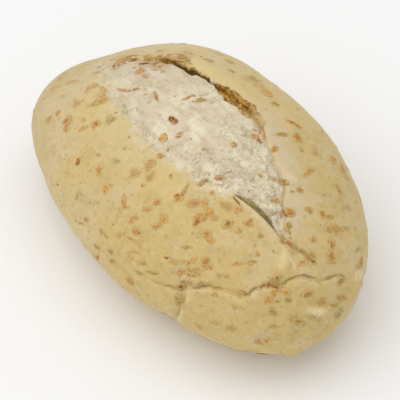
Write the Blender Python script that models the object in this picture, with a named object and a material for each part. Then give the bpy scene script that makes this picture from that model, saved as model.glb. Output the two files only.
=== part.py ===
"""Mini baguette: a short, part-baked bran roll with one slash along its top.

The roll lies along X, its near end at +X and its flat base on z = 0. Its body is a closed form
of elliptical sections. The slash with its two lips, the torn crumb between them and the folds
round the near end are relief on that form. The largest bran flakes are fused on it.
"""

import math
import random
from dataclasses import dataclass

import bmesh
import bpy
import numpy as np
from mathutils import Matrix, Vector, noise
from mathutils.bvhtree import BVHTree

MM = 0.001  # the sizes below are in millimetres, and the finished mesh is scaled by this

# Driving dimensions of the whole roll
LENGTH = 110.0
WIDTH = 71.0
HEIGHT = 48.5

# Body: a station runs from -1 at the far end to 1 at the near end, and an angle from 0 at the
# far side (+Y) over 90 degrees at the top to 180 at the near side (-Y)
HALF_LENGTH = LENGTH / 2
HALF_WIDTH = WIDTH / 2
SEAT = 0.443 * HEIGHT  # the section centres' height above the base
HALF_HEIGHT = 0.525 * HEIGHT  # of the sections, above which the torn crumb still rises
SLIM = 0.016  # share by which the near sections are narrower than the far ones
LIFT = 0.054  # share by which the near sections are taller than the far ones
BEND = 4.9  # how far the middle bows to the far side of both ends
LEAN = 0.9  # how far the near end lies to the far side
BASE_ROUNDING = 1.6

# Slow swells and hollows of the dough: place along X, angle in degrees, height
BULGES = (
    (-50, 175, -0.3),
    (-38, 180, -1.0),
    (-15, 180, -1.1),
    (5, 190, 0.7),
    (25, 195, -0.6),
    (42, 200, 0.5),
    (52, 225, 0.5),
    (30, 8, -0.3),
    (-32, 35, 2.3),
    (-43, 60, -1.4),
    (-48, 110, -0.7),
    (-53, 150, 0.7),
)
BULGE_REACH = 13.0
DENTS = (
    (-34.5, 188, -0.9),
    (-42, 183, -0.35),
    (22.5, 203, -0.6),
    (-2, 198, -0.4),
    (-48.5, 60, -0.5),
    (-17, 29, 0.4),
    (24, 16, -0.4),
    (49, -4, -0.3),
)
DENT_REACH = 4.0
BLISTERS = ((53.5, 112, 0.9), (50.5, 226, 1.2), (50.0, 24, 0.8))
BLISTER_REACH = 1.6
LUMP_SIZE = 17.0
LUMP_HEIGHT = 0.35

# Slash: places along X and across Y of the two edges of the opening, from end to end
FAR_EDGE = (
    (-47, -1.5),
    (-41, 1.6),
    (-37, 3.4),
    (-31, 7.4),
    (-27, 10.6),
    (-21, 12.5),
    (-13, 14.0),
    (-5, 14.4),
    (3, 14.9),
    (8, 14.4),
    (13.5, 11.8),
    (19, 9.3),
    (23.5, 8.0),
    (27.5, 5.2),
    (31, 2.6),
    (34, 0.6),
    (38, -3.6),
)
NEAR_EDGE = (
    (-47, -1.8),
    (-41, -2.4),
    (-36, -4.4),
    (-29, -8.0),
    (-24, -9.9),
    (-19, -10.7),
    (-13, -11.6),
    (-6, -13.2),
    (2, -13.0),
    (8, -11.9),
    (13, -11.6),
    (18, -9.2),
    (23, -6.6),
    (27, -5.8),
    (31, -5.2),
    (38, -4.6),
)
# Strength of each edge along X, from 0, closed, to 1, its whole profile
FAR_STRENGTH = (
    (-47, 0),
    (-42, 0.1),
    (-36, 0.2),
    (-30, 0.35),
    (-26, 0.6),
    (-22, 1),
    (-12, 1),
    (-8, 0.7),
    (-4, 0.52),
    (4, 0.45),
    (9, 0.35),
    (15, 0.25),
    (34, 0.2),
    (39, 0),
)
NEAR_STRENGTH = ((21, 0), (23.5, 0.45), (26, 0.85), (30, 1), (34, 0.85), (37, 0.5), (40, 0))
SHOULDER_STRENGTH = ((-47, 0), (-36, 0.7), (-20, 1), (10, 1), (17, 0.4), (23, 0))
# Profile over an edge: distance from it, on the skin below 0 and in the opening above, then the
# sideways shift towards the opening and the height
FAR_PROFILE = (
    (-8, 0, 0),
    (-5, 0.1, 0.4),
    (-3, 0.4, 0.8),
    (-1.5, 0.9, 1.05),
    (-0.6, 1.2, 0.85),
    (-0.1, 1.1, 0.3),
    (0.3, 0.3, -0.7),
    (0.6, -0.3, -1.6),
    (0.9, -0.4, -2.1),
    (1.3, -0.2, -1.5),
    (1.9, 0, -0.7),
    (2.8, 0, -0.25),
    (4, 0, 0),
    (6.5, 0, 0),
)
NEAR_PROFILE = (
    (-6, 0, 0),
    (-3.5, 0.1, 0.2),
    (-1.6, 0.3, 0.4),
    (-0.6, 0.5, 0.45),
    (-0.1, 0.5, 0.1),
    (0.3, 0.1, -0.6),
    (0.7, -0.3, -1.4),
    (1.3, -0.4, -1.9),
    (2.0, -0.2, -1.9),
    (2.8, 0, -1.2),
    (3.8, 0, -0.4),
    (5, 0, 0),
)
SHOULDER_PROFILE = ((-6, 0, 0), (-2.5, 0, 0.4), (-0.5, 0.2, 0.35), (1.5, 0, -0.35), (5, 0, 0))
LEAST_OPENING = 1.0  # width at which the loops of the closed ends still run apart
LEAST_HALF_WIDTH = 1.0  # of a section, by which a place across it is divided
EDGE_LIMIT = 0.6  # share of a section's half width beyond which no edge lies
LEAST_SPREAD = 0.45  # share of the half width that a radian at the top spans at least
CRUMB_WIDTH = 3.5  # of the plain crumb between both lips where the opening is narrow
CRUMB_DOME = 1.3
DOME_WIDTH = 12.0  # width of the opening at which the dome reaches its height
CRUMB_SIZE = 4.5
CRUMB_HEIGHT = 0.55

# Share of the loops round the roll at which each stretch ends: half the base, far flank, far lip,
# crumb, near lip, near flank, the other half of the base
LOOP_SHARES = (0.0, 0.03, 0.20, 0.34, 0.48, 0.61, 0.97, 1.0)
FLANK_ENDS = (-20, 205)  # angles in degrees at which the flanks turn under
RINGS = 190
LOOPS = 280
KEPT_SHARE = 0.06  # of the triangles, once the plain stretches are thinned out
FLAT_WITHIN = 0.05  # the thinned base is pressed flat from this height down


@dataclass(frozen=True)
class Fold:
    """A crease along a path of places (along X, angle in degrees), with a rim on its left side."""

    path: tuple
    depth: float
    width: float
    rim: float = 0.0
    rim_reach: float = 1.6


FOLDS = (
    Fold(
        (
            (15, 169),
            (19.1, 167.3),
            (21.2, 166.4),
            (26.2, 161.5),
            (33.3, 148.5),
            (37.8, 144.3),
            (40.7, 142.5),
            (41.5, 135.3),
            (42.1, 130.6),
            (43.3, 126.3),
            (45, 121.5),
            (45.3, 117.1),
            (46.4, 105.1),
            (47.9, 97.9),
            (49.7, 89.7),
            (49.9, 79.6),
            (50.2, 69.5),
            (51.2, 54.5),
            (51.2, 41.2),
        ),
        depth=0.6,
        width=0.6,
        rim=0.55,
        rim_reach=1.8,
    ),
    Fold(
        ((23.5, 212), (25, 200), (26.2, 191), (27.7, 179.4), (28.7, 165.6), (28.6, 159)),
        depth=0.6,
        width=0.7,
        rim=0.5,
        rim_reach=2.2,
    ),
    Fold(((36.5, 98), (39, 99), (41, 96), (43.5, 92), (46, 89.5)), 0.5, 0.7),
    Fold(((38.5, 100), (40, 101), (42, 107), (43, 116)), -0.9, 1.4),
    Fold(((-11, 174), (-9, 172), (-5, 168), (-1, 168)), 0.5, 0.8, 0.2),
)
FOLD_STEPS = 90
FOLD_REACH = 12.0  # a fold changes nothing further from its path
FOLD_END = 0.15  # share of a fold's steps over which each end fades
FOLD_BEYOND = 2.0  # how fast it fades past the ends of its path

# Bran: place along X, angle in degrees, reach of the cluster, number of flakes
BRAN_CLUSTERS = (
    (20.5, 122, 2.2, 4),
    (-0.5, 122, 3.5, 3),
    (13, 122, 2.0, 2),
    (-30, 110, 3.5, 3),
    (-29, 76, 3.5, 3),
    (-14, 70, 3.0, 2),
    (-2, 68, 2.5, 2),
    (12, 77, 2.0, 1),
    (29, 91, 0.5, 1),
    (33, 89, 2.2, 2),
    (25, 148, 5.0, 4),
    (38, 122, 3.0, 2),
    (40, 139, 1.5, 1),
    (44.5, 124, 2.5, 4),
    (50, 106, 3.0, 3),
    (45, 90, 1.5, 1),
    (-6, 98, 0.5, 1),
    (-3, 108, 0.5, 1),
    (-22, 125, 4.0, 3),
    (-9, 47, 3.0, 2),
    (14, 59, 3.0, 3),
    (25, 55, 4.0, 2),
    (27, 118, 3.0, 3),
)
BRAN_SCATTERED = 30
BRAN_LONGEST = 3.0
BRAN_SHORTEST = 1.8
BRAN_THICKNESS = 0.9
BRAN_WIDTHS = (0.5, 0.8)  # shares of a flake's length
BRAN_UNEVENNESS = (0.85, 1.15)  # shares by which a flake's corners move
BRAN_GAP = 2.2
BRAN_LOWEST = 7.0  # no flake lies lower, where the roll rests
BRAN_REACH = 0.92  # share of the half length within which flakes are scattered
BRAN_ANGLES = (-25, 205)  # angles in degrees between which they are scattered
ABOVE_BODY = 10.0  # height from which the crust is looked for
SEED = 7

BREAD_COLOUR = (0.65, 0.50, 0.25, 1)
BREAD_ROUGHNESS = 0.75
BRAN_COLOUR = (0.46, 0.20, 0.06, 1)
BRAN_ROUGHNESS = 0.7
SHARP_ANGLE = 50  # degrees from which an edge isn't shaded smooth


def read_curve(points, at):
    """Reads a smooth curve, whose first column rises, at the places given: one column per value."""
    knots = np.array(points, float)
    place, value = knots[:, 0], knots[:, 1:]
    slope = np.gradient(value, place, axis=0)
    at = np.asarray(at, float)
    first = np.clip(np.searchsorted(place, at) - 1, 0, len(place) - 2)
    step = place[first + 1] - place[first]
    part = np.clip((at - place[first]) / step, 0, 1)[..., None]
    step = step[..., None]
    rest = 1 - part
    return (
        value[first] * (1 + 2 * part) * rest**2
        + slope[first] * step * part * rest**2
        + value[first + 1] * (3 - 2 * part) * part**2
        - slope[first + 1] * step * rest * part**2
    )


def section(station):
    """Half width, half height and sideways shift of the body's section at a station."""
    round_off = np.sqrt(np.clip(1 - station**2, 0, 1))
    half_width = HALF_WIDTH * round_off * (1 - SLIM * station)
    half_height = HALF_HEIGHT * round_off * (1 + LIFT * station)
    shift = LEAN * station - BEND * (station**2 - 1 / 3)
    return half_width, half_height, shift


def body_point(station, angle):
    half_width, half_height, shift = section(station)
    across = half_width * np.cos(angle) + shift
    up = half_height * np.sin(angle) + SEAT
    return np.stack([HALF_LENGTH * station, across, up], axis=-1)


def unit(vectors):
    return vectors / np.linalg.norm(vectors, axis=-1, keepdims=True)


def body_normal(station, angle):
    round_off = np.sqrt(np.clip(1 - station**2, 0, 1))
    across = round_off * np.cos(angle) / HALF_WIDTH
    up = round_off * np.sin(angle) / HALF_HEIGHT
    return unit(np.stack([station / HALF_LENGTH, across, up], axis=-1))


def body_across(angle):
    """Unit vector over the surface, square to X, towards a rising angle."""
    across = -HALF_WIDTH * np.sin(angle)
    return unit(np.stack([np.zeros_like(angle), across, HALF_HEIGHT * np.cos(angle)], axis=-1))


def on_body(place, degrees):
    """Point and normal of the body at a place along X and an angle in degrees."""
    station = np.asarray(place, float) / HALF_LENGTH
    angle = np.radians(np.asarray(degrees, float))
    return body_point(station, angle), body_normal(station, angle)


def edge_angle(edge, station):
    """Angle at which an edge of the slash crosses the section at a station."""
    half_width, _, shift = section(station)
    across = read_curve(edge, HALF_LENGTH * station)[..., 0]
    share = (across - shift) / np.maximum(half_width, LEAST_HALF_WIDTH)
    return np.arccos(np.clip(share, -EDGE_LIMIT, EDGE_LIMIT))


def loop_angle(station, loop):
    """Angle of a loop, 0 to 1 round the roll from the middle of the base, and its distances
    over the surface from the far and the near edge, above 0 in the opening."""
    half_width, _, _ = section(station)
    spread = np.maximum(half_width, LEAST_SPREAD * HALF_WIDTH)  # millimetres for each radian
    far = edge_angle(FAR_EDGE, station)
    near = edge_angle(NEAR_EDGE, station)
    middle = (far + near) / 2
    opening = np.maximum((near - far) * spread, LEAST_OPENING)
    far_in, near_in = FAR_PROFILE[-1][0], NEAR_PROFILE[-1][0]
    squeeze = np.minimum(opening / (far_in + near_in + CRUMB_WIDTH), 1)
    far = middle - opening / spread / 2
    near = middle + opening / spread / 2
    anchors = (
        np.full_like(far, -math.pi / 2),
        np.full_like(far, math.radians(FLANK_ENDS[0])),
        far + FAR_PROFILE[0][0] / spread,
        far + squeeze * far_in / spread,
        near - squeeze * near_in / spread,
        near - NEAR_PROFILE[0][0] / spread,
        np.full_like(far, math.radians(FLANK_ENDS[1])),
        np.full_like(far, 1.5 * math.pi),
    )
    angle = anchors[0].copy()
    for start, end, low, high in zip(anchors, anchors[1:], LOOP_SHARES, LOOP_SHARES[1:]):
        angle += (end - start) * np.clip((loop - low) / (high - low), 0, 1)
    return angle, (angle - far) * spread, (near - angle) * spread, squeeze


def edge_relief(profile, strength, place, distance, squeeze):
    """Sideways shift towards the opening and height that an edge of the slash adds."""
    narrow = np.where(distance > 0, squeeze, 1)
    relief = read_curve(profile, distance / narrow)
    amount = read_curve(strength, place)[..., 0] * np.sqrt(narrow)
    return relief[..., 0] * amount * narrow, relief[..., 1] * amount


def noise_over(points, size, seed):
    """Noise from about -1 to 1, whose swells are about as large as size."""
    start = Vector((seed, 2 * seed, 3 * seed))
    return np.array([noise.noise(Vector(point) / size + start) for point in points])


def fold_relief(points, fold):
    """Height that a fold adds at the points of the body."""
    knots = np.array(fold.path, float)
    steps = np.linspace(0, len(knots) - 1, FOLD_STEPS)
    path = read_curve([(i, *knot) for i, knot in enumerate(knots)], steps)
    centres, normals = on_body(path[:, 0], path[:, 1])
    along = unit(np.gradient(centres, axis=0))
    left = unit(np.cross(along, normals))
    apart = np.linalg.norm(points[:, None, :] - centres[None], axis=-1)
    nearest = apart.argmin(axis=1)
    offset = points - centres[nearest]
    aside = (offset * left[nearest]).sum(axis=-1)
    beyond = (offset * along[nearest]).sum(axis=-1)
    from_end = np.minimum(nearest, FOLD_STEPS - 1 - nearest)
    ends = np.clip(from_end / (FOLD_END * FOLD_STEPS), 0, 1)
    fade = ends * np.exp(-((beyond / FOLD_BEYOND) ** 2)) * (apart.min(axis=1) < FOLD_REACH)
    groove = -fold.depth * np.exp(-((aside / fold.width) ** 2))
    reach = np.maximum(aside, 0) / fold.rim_reach
    return fade * (groove + fold.rim * reach * np.exp(1 - reach))


def swell_relief(points, swells, reach):
    """Height that rounded swells or blisters add at the points of the body."""
    height = np.zeros(len(points))
    for place, degrees, rise in swells:
        centre, _ = on_body(place, degrees)
        height += rise * np.exp(-((points - centre) ** 2).sum(axis=-1) / (2 * reach**2))
    return height


def smooth_max(value, floor, rounding):
    """The larger of a value and a floor, rounded where they meet and flat a rounding below."""
    blend = np.maximum(rounding - np.abs(value - floor), 0) / rounding
    return np.maximum(value, floor) + blend**2 * rounding / 4


def loaf_points(station, loop):
    """Points of the loaf, without its bran, at stations and loops of the same count."""
    angle, from_far, from_near, squeeze = loop_angle(station, loop)
    place = HALF_LENGTH * station
    points = body_point(station, angle)
    normal = body_normal(station, angle)
    across = body_across(angle)
    far_shift, far_height = edge_relief(FAR_PROFILE, FAR_STRENGTH, place, from_far, squeeze)
    near_shift, near_height = edge_relief(NEAR_PROFILE, NEAR_STRENGTH, place, from_near, squeeze)
    soft_shift, soft_height = edge_relief(
        SHOULDER_PROFILE, SHOULDER_STRENGTH, place, from_near, squeeze
    )
    opening = from_far + from_near
    share = np.clip(from_far / opening, 0, 1)
    opened = np.sin(math.pi * share) * np.clip((opening - LEAST_OPENING) / DOME_WIDTH, 0, 1)
    height = far_height + near_height + soft_height + CRUMB_DOME * opened
    height += CRUMB_HEIGHT * opened * noise_over(points, CRUMB_SIZE, SEED)
    height += LUMP_HEIGHT * noise_over(points, LUMP_SIZE, SEED + 1)
    height += swell_relief(points, BULGES, BULGE_REACH)
    height += swell_relief(points, DENTS, DENT_REACH)
    height += swell_relief(points, BLISTERS, BLISTER_REACH)
    for fold in FOLDS:
        height += fold_relief(points, fold)
    shift = far_shift - near_shift - soft_shift
    points = points + normal * height[:, None] + across * shift[:, None]
    points[:, 2] = smooth_max(points[:, 2], 0, BASE_ROUNDING)
    return points


def fitted(points):
    """The points scaled to the driving dimensions, centred in X and Y and standing on z = 0."""
    low, high = points.min(axis=0), points.max(axis=0)
    foot = np.array([(low[0] + high[0]) / 2, (low[1] + high[1]) / 2, low[2]])
    return (points - foot) * np.array([LENGTH, WIDTH, HEIGHT]) / (high - low)


def clear_scene():
    for obj in list(bpy.data.objects):
        bpy.data.objects.remove(obj)


def new_collection(name):
    collection = bpy.data.collections.new(name)
    bpy.context.scene.collection.children.link(collection)
    return collection


def new_material(name, colour, roughness):
    material = bpy.data.materials.new(name)
    material.use_nodes = True
    shader = material.node_tree.nodes["Principled BSDF"]
    shader.inputs["Base Color"].default_value = colour
    shader.inputs["Roughness"].default_value = roughness
    shader.inputs["Metallic"].default_value = 0
    return material


def new_object(name, bm, collection, *materials):
    mesh = bpy.data.meshes.new(name)
    bm.to_mesh(mesh)
    bm.free()
    for material in materials:
        mesh.materials.append(material)
    obj = bpy.data.objects.new(name, mesh)
    collection.objects.link(obj)
    return obj


def apply_modifiers(obj):
    graph = bpy.context.evaluated_depsgraph_get()
    finished = bpy.data.meshes.new_from_object(obj.evaluated_get(graph))
    obj.modifiers.clear()
    obj.data = finished


def make_loaf(collection, *materials):
    """The loaf without bran: a sphere whose rings become the sections, thinned where it is plain."""
    bm = bmesh.new()
    bmesh.ops.create_uvsphere(bm, u_segments=LOOPS, v_segments=RINGS, radius=1)
    sphere = np.array([vert.co for vert in bm.verts])
    station = sphere[:, 2]
    loop = (np.arctan2(sphere[:, 1], sphere[:, 0]) / (2 * math.pi)) % 1
    for vert, point in zip(bm.verts, fitted(loaf_points(station, loop))):
        vert.co = point
    loaf = new_object("loaf", bm, collection, *materials)
    thinning = loaf.modifiers.new("Thin out the plain stretches", "DECIMATE")
    thinning.ratio = KEPT_SHARE
    apply_modifiers(loaf)
    for vert in loaf.data.vertices:
        if vert.co.z < FLAT_WITHIN:
            vert.co.z = 0
    loaf.data.transform(Matrix.Scale(MM, 4))
    return loaf


def bran_places(rng):
    """Places of the flakes, the clusters first, then evenly over the crust: X and degrees."""
    for place, degrees, reach, count in BRAN_CLUSTERS:
        for _ in range(count):
            aside = rng.gauss(0, reach / 2)
            yield place + rng.gauss(0, reach / 2), degrees + math.degrees(aside / HALF_WIDTH)
    while True:
        yield rng.uniform(-BRAN_REACH, BRAN_REACH) * HALF_LENGTH, rng.uniform(*BRAN_ANGLES)


def surface_hit(tree, place, degrees):
    """Where a line square to the body meets the loaf, in metres: point and normal."""
    point, normal = on_body(place, degrees)
    start = Vector(point + normal * ABOVE_BODY) * MM
    hit, facing, _, _ = tree.ray_cast(start, Vector(-normal))
    return hit, facing


def make_flake(name, length, turn, frame, rng, collection, material):
    """One bran flake: a low, uneven chip, half sunk in the crust."""
    bm = bmesh.new()
    bmesh.ops.create_icosphere(bm, subdivisions=1, radius=0.5)
    width = length * rng.uniform(*BRAN_WIDTHS)
    for vert in bm.verts:
        vert.co *= rng.uniform(*BRAN_UNEVENNESS)
    size = Matrix.Diagonal((length * MM, width * MM, BRAN_THICKNESS * MM, 1))
    bmesh.ops.transform(bm, matrix=frame @ Matrix.Rotation(turn, 4, "Z") @ size, verts=bm.verts)
    return new_object(name, bm, collection, material)


def make_bran(loaf, collection, material):
    """The largest flakes that show, as separate chips on the loaf."""
    rng = random.Random(SEED)
    tree = BVHTree.FromObject(loaf, bpy.context.evaluated_depsgraph_get())
    count = BRAN_SCATTERED + sum(cluster[3] for cluster in BRAN_CLUSTERS)
    taken = []
    for place, degrees in bran_places(rng):
        if len(taken) == count:
            break
        hit, facing = surface_hit(tree, place, degrees)
        too_near = any((hit - other).length < BRAN_GAP * MM for other in taken)
        if too_near or hit.z < BRAN_LOWEST * MM:
            continue
        share = len(taken) / count
        length = BRAN_LONGEST + (BRAN_SHORTEST - BRAN_LONGEST) * share
        frame = Matrix.Translation(hit) @ facing.to_track_quat("Z", "Y").to_matrix().to_4x4()
        turn = rng.uniform(0, math.pi)
        make_flake(f"bran_{len(taken):02d}", length, turn, frame, rng, collection, material)
        taken.append(hit)


def fuse(obj, collection):
    """Joins every piece of a collection to an object by one union, and removes the pieces."""
    union = obj.modifiers.new("Fuse the bran", "BOOLEAN")
    union.operation = "UNION"
    union.operand_type = "COLLECTION"
    union.collection = collection
    union.solver = "EXACT"
    apply_modifiers(obj)
    for piece in list(collection.objects):
        bpy.data.objects.remove(piece)
    bpy.data.collections.remove(collection)


def main():
    clear_scene()
    baguette = new_collection("mini_baguette")
    flakes = new_collection("bran_flakes")
    bread = new_material("part-baked crust", BREAD_COLOUR, BREAD_ROUGHNESS)
    bran = new_material("bran", BRAN_COLOUR, BRAN_ROUGHNESS)
    loaf = make_loaf(baguette, bread, bran)
    make_bran(loaf, flakes, bran)
    fuse(loaf, flakes)
    loaf.data.shade_smooth()
    loaf.data.set_sharp_from_angle(angle=math.radians(SHARP_ANGLE))


main()
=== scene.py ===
"""Looks of the mini baguette: a short, part-baked bran roll on a pale floor.

The roll's fine crust with its torn crumb, its bran flakes and the crumbs in its slash replace
the plain solid of the frame. Forms are worked out in millimetres, +X towards the folded near
end, and become metres in their meshes.
"""

import logging
import math
import random
from dataclasses import dataclass, field, replace
from enum import Enum
from typing import Any, Iterator, Mapping, Sequence

import bmesh
import bpy
import numpy as np
from mathutils import Matrix, Vector, noise
from mathutils.bvhtree import BVHTree


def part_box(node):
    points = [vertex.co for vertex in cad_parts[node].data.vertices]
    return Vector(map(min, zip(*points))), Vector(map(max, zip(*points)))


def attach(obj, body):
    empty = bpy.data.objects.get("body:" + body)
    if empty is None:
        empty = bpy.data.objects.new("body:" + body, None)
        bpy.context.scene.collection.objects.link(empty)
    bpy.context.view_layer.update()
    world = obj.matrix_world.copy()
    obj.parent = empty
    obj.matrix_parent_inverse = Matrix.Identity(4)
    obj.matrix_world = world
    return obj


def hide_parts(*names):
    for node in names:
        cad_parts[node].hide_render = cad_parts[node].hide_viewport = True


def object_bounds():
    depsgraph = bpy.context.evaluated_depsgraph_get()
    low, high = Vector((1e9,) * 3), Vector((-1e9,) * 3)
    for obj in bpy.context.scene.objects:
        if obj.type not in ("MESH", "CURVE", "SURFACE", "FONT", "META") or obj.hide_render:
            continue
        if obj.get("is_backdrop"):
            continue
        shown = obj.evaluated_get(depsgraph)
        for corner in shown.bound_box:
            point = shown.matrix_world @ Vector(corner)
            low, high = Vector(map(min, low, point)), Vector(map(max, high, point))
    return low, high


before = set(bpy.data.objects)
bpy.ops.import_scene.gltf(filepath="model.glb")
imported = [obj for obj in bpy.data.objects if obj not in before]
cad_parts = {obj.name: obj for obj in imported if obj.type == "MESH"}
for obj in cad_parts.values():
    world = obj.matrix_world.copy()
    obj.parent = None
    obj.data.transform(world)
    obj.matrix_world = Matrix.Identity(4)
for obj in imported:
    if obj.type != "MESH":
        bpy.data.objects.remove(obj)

CAD_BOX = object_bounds()
BODY = "root"
NODE = "loaf"
MM = 0.001
SEED = 7

log = logging.getLogger("mini_baguette")

Colour = tuple[float, float, float, float]
Rows = tuple[tuple[float, ...], ...]


class Slot(Enum):
    """Material slots of the frame's record."""

    CRUST = "crust"
    CRUMB = "crumb"
    BRAN = "bran"


def srgb(red: int, green: int, blue: int) -> Colour:
    """Linear colour of an 8-bit screen colour.

    Args:
        red: Red, 0 to 255.
        green: Green, 0 to 255.
        blue: Blue, 0 to 255.

    Returns:
        The colour as sockets take it, with full alpha.
    """

    def linear(part: int) -> float:
        """Linear value of one part."""
        share = part / 255
        return share / 12.92 if share <= 0.04045 else ((share + 0.055) / 1.055) ** 2.4

    return (linear(red), linear(green), linear(blue), 1.0)


# --- Node trees ---------------------------------------------------------------------------------


class NodeTree:
    """Adds nodes to a shader or geometry tree."""

    def __init__(self, tree: bpy.types.NodeTree) -> None:
        """Empties the tree and keeps it.

        Args:
            tree: The node tree to fill.
        """
        self.tree = tree
        self.tree.nodes.clear()

    def node(
        self,
        kind: str,
        settings: Mapping[str, Any] | None = None,
        sockets: Mapping[Any, Any] | None = None,
    ) -> bpy.types.Node:
        """Adds a node, sets its settings, then fills its sockets.

        Args:
            kind: The node's type name.
            settings: Properties by name.
            sockets: Values, fields or sockets by the input's name or number.

        Returns:
            The new node.
        """
        made = self.tree.nodes.new(kind)
        for name, value in (settings or {}).items():
            setattr(made, name, value)
        for key, value in (sockets or {}).items():
            source = value.socket if isinstance(value, Field) else value
            if isinstance(source, bpy.types.NodeSocket):
                self.tree.links.new(source, made.inputs[key])
            else:
                made.inputs[key].default_value = source
        return made


@dataclass(frozen=True)
class Field:
    """A number that varies over a surface: a socket with arithmetic."""

    nodes: "MaterialNodes"
    socket: bpy.types.NodeSocket

    def _math(self, operation: str, *values: Any) -> "Field":
        """Adds a Math node on these values."""
        made = self.nodes.node("ShaderNodeMath", {"operation": operation}, dict(enumerate(values)))
        return Field(self.nodes, made.outputs[0])

    def __add__(self, other: Any) -> "Field":
        """This plus another."""
        return self._math("ADD", self, other)

    __radd__ = __add__

    def __sub__(self, other: Any) -> "Field":
        """This less another."""
        return self._math("SUBTRACT", self, other)

    def __rsub__(self, other: Any) -> "Field":
        """Another less this."""
        return self._math("SUBTRACT", other, self)

    def __mul__(self, other: Any) -> "Field":
        """This times another."""
        return self._math("MULTIPLY", self, other)

    __rmul__ = __mul__

    def above(self, low: float, high: float) -> "Field":
        """Rises smoothly from 0 at low to 1 at high."""
        made = self.nodes.node(
            "ShaderNodeMapRange",
            {"interpolation_type": "SMOOTHSTEP"},
            {"Value": self, "From Min": low, "From Max": high},
        )
        return Field(self.nodes, made.outputs["Result"])

    def below(self, low: float, high: float) -> "Field":
        """Falls smoothly from 1 at low to 0 at high."""
        return 1 - self.above(low, high)

    def bare(self) -> "Field":
        """This without its sign."""
        return self._math("ABSOLUTE", self)


class MaterialNodes(NodeTree):
    """Shader nodes of one material, from object coordinates to its Principled shader."""

    def __init__(self, name: str) -> None:
        """Starts a new material.

        Args:
            name: The material's name.
        """
        self.material = bpy.data.materials.new(name)
        self.material.use_nodes = True
        super().__init__(self.material.node_tree)
        self.place = self.node("ShaderNodeTexCoord").outputs["Object"]

    def attribute(self, name: str) -> Field:
        """Reads a mesh's own number by name."""
        made = self.node("ShaderNodeAttribute", {"attribute_name": name})
        return Field(self, made.outputs["Fac"])

    def along(self) -> Field:
        """Place along the roll in millimetres, above 0 towards its near end."""
        parts = self.node("ShaderNodeSeparateXYZ", None, {0: self.place})
        return Field(self, parts.outputs[0]) * (1 / MM)

    def mapped(self, size: tuple[float, float, float], start: float = 0.0) -> Any:
        """Divides the object coordinates by a size.

        Args:
            size: The size along each axis in millimetres.
            start: Where in the pattern the roll lies.

        Returns:
            The coordinates.
        """
        scale = tuple(1 / (part * MM) for part in size)
        sockets = {"Vector": self.place, "Location": (start, start, start), "Scale": scale}
        return self.node("ShaderNodeMapping", None, sockets).outputs[0]

    def cloud(self, size: float, start: float = 0.0, detail: float = 2.0) -> Field:
        """Noise, 0.5 on average, with swells of a size in millimetres."""
        sockets = {"Vector": self.mapped((size,) * 3, start), "Scale": 1.0, "Detail": detail}
        return Field(self, self.node("ShaderNodeTexNoise", None, sockets).outputs["Fac"])

    def cells(self, size: float, start: float, feature: str) -> bpy.types.Node:
        """Makes uneven cells.

        Args:
            size: Their size in millimetres.
            start: Where in the pattern the roll lies.
            feature: The Voronoi feature that they give.

        Returns:
            The Voronoi node.
        """
        warp = self.node(
            "ShaderNodeTexNoise", None, {"Vector": self.mapped((size * 0.45,) * 3), "Scale": 1.0}
        )
        moved = self.node(
            "ShaderNodeVectorMath",
            {"operation": "MULTIPLY_ADD"},
            {0: warp.outputs["Color"], 1: (0.7,) * 3, 2: self.mapped((size,) * 3, start)},
        )
        sockets = {"Vector": moved.outputs[0], "Scale": 1.0}
        return self.node("ShaderNodeTexVoronoi", {"feature": feature}, sockets)

    def spots(self, size: float, start: float) -> tuple[Field, Field]:
        """Makes spots, one in each uneven cell.

        Args:
            size: The cells' size in millimetres.
            start: Where in the pattern the roll lies.

        Returns:
            Distance from the middle of the cell, and the cell's random number.
        """
        made = self.cells(size, start, "F1")
        parted = self.node("ShaderNodeSeparateColor", None, {0: made.outputs["Color"]})
        return Field(self, made.outputs["Distance"]), Field(self, parted.outputs[0])

    def cracks(self, size: float, start: float) -> Field:
        """Broken thin lines, 1 where they are, round such cells."""
        line = Field(self, self.cells(size, start, "DISTANCE_TO_EDGE").outputs["Distance"])
        return line.below(0.02, 0.12) * self.cloud(size, start + 2).above(0.48, 0.6)

    def mix(self, amount: Any, first: Any, second: Any) -> Any:
        """Mixes two colours: 0 gives the first and 1 the second."""
        made = self.node("ShaderNodeMix", {"data_type": "RGBA"}, {0: amount, 6: first, 7: second})
        return made.outputs[2]

    def bump(self, height: Field) -> Any:
        """Normal for a height in millimetres."""
        return self.node("ShaderNodeBump", None, {"Height": height, "Distance": MM}).outputs[0]

    def finish(self, shader: Mapping[str, Any]) -> bpy.types.Material:
        """Ends the tree with a Principled shader.

        Args:
            shader: Values and links of the shader's sockets by name.

        Returns:
            The material.
        """
        made = self.node("ShaderNodeBsdfPrincipled", None, shader)
        self.node("ShaderNodeOutputMaterial", None, {"Surface": made.outputs[0]})
        return self.material


# --- Finishes -----------------------------------------------------------------------------------


@dataclass(frozen=True)
class Fleck:
    """Small spots of one colour in the skin: cell size in millimetres, share and strength."""

    size: float
    start: float
    share: float
    strength: float
    colour: Colour


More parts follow.
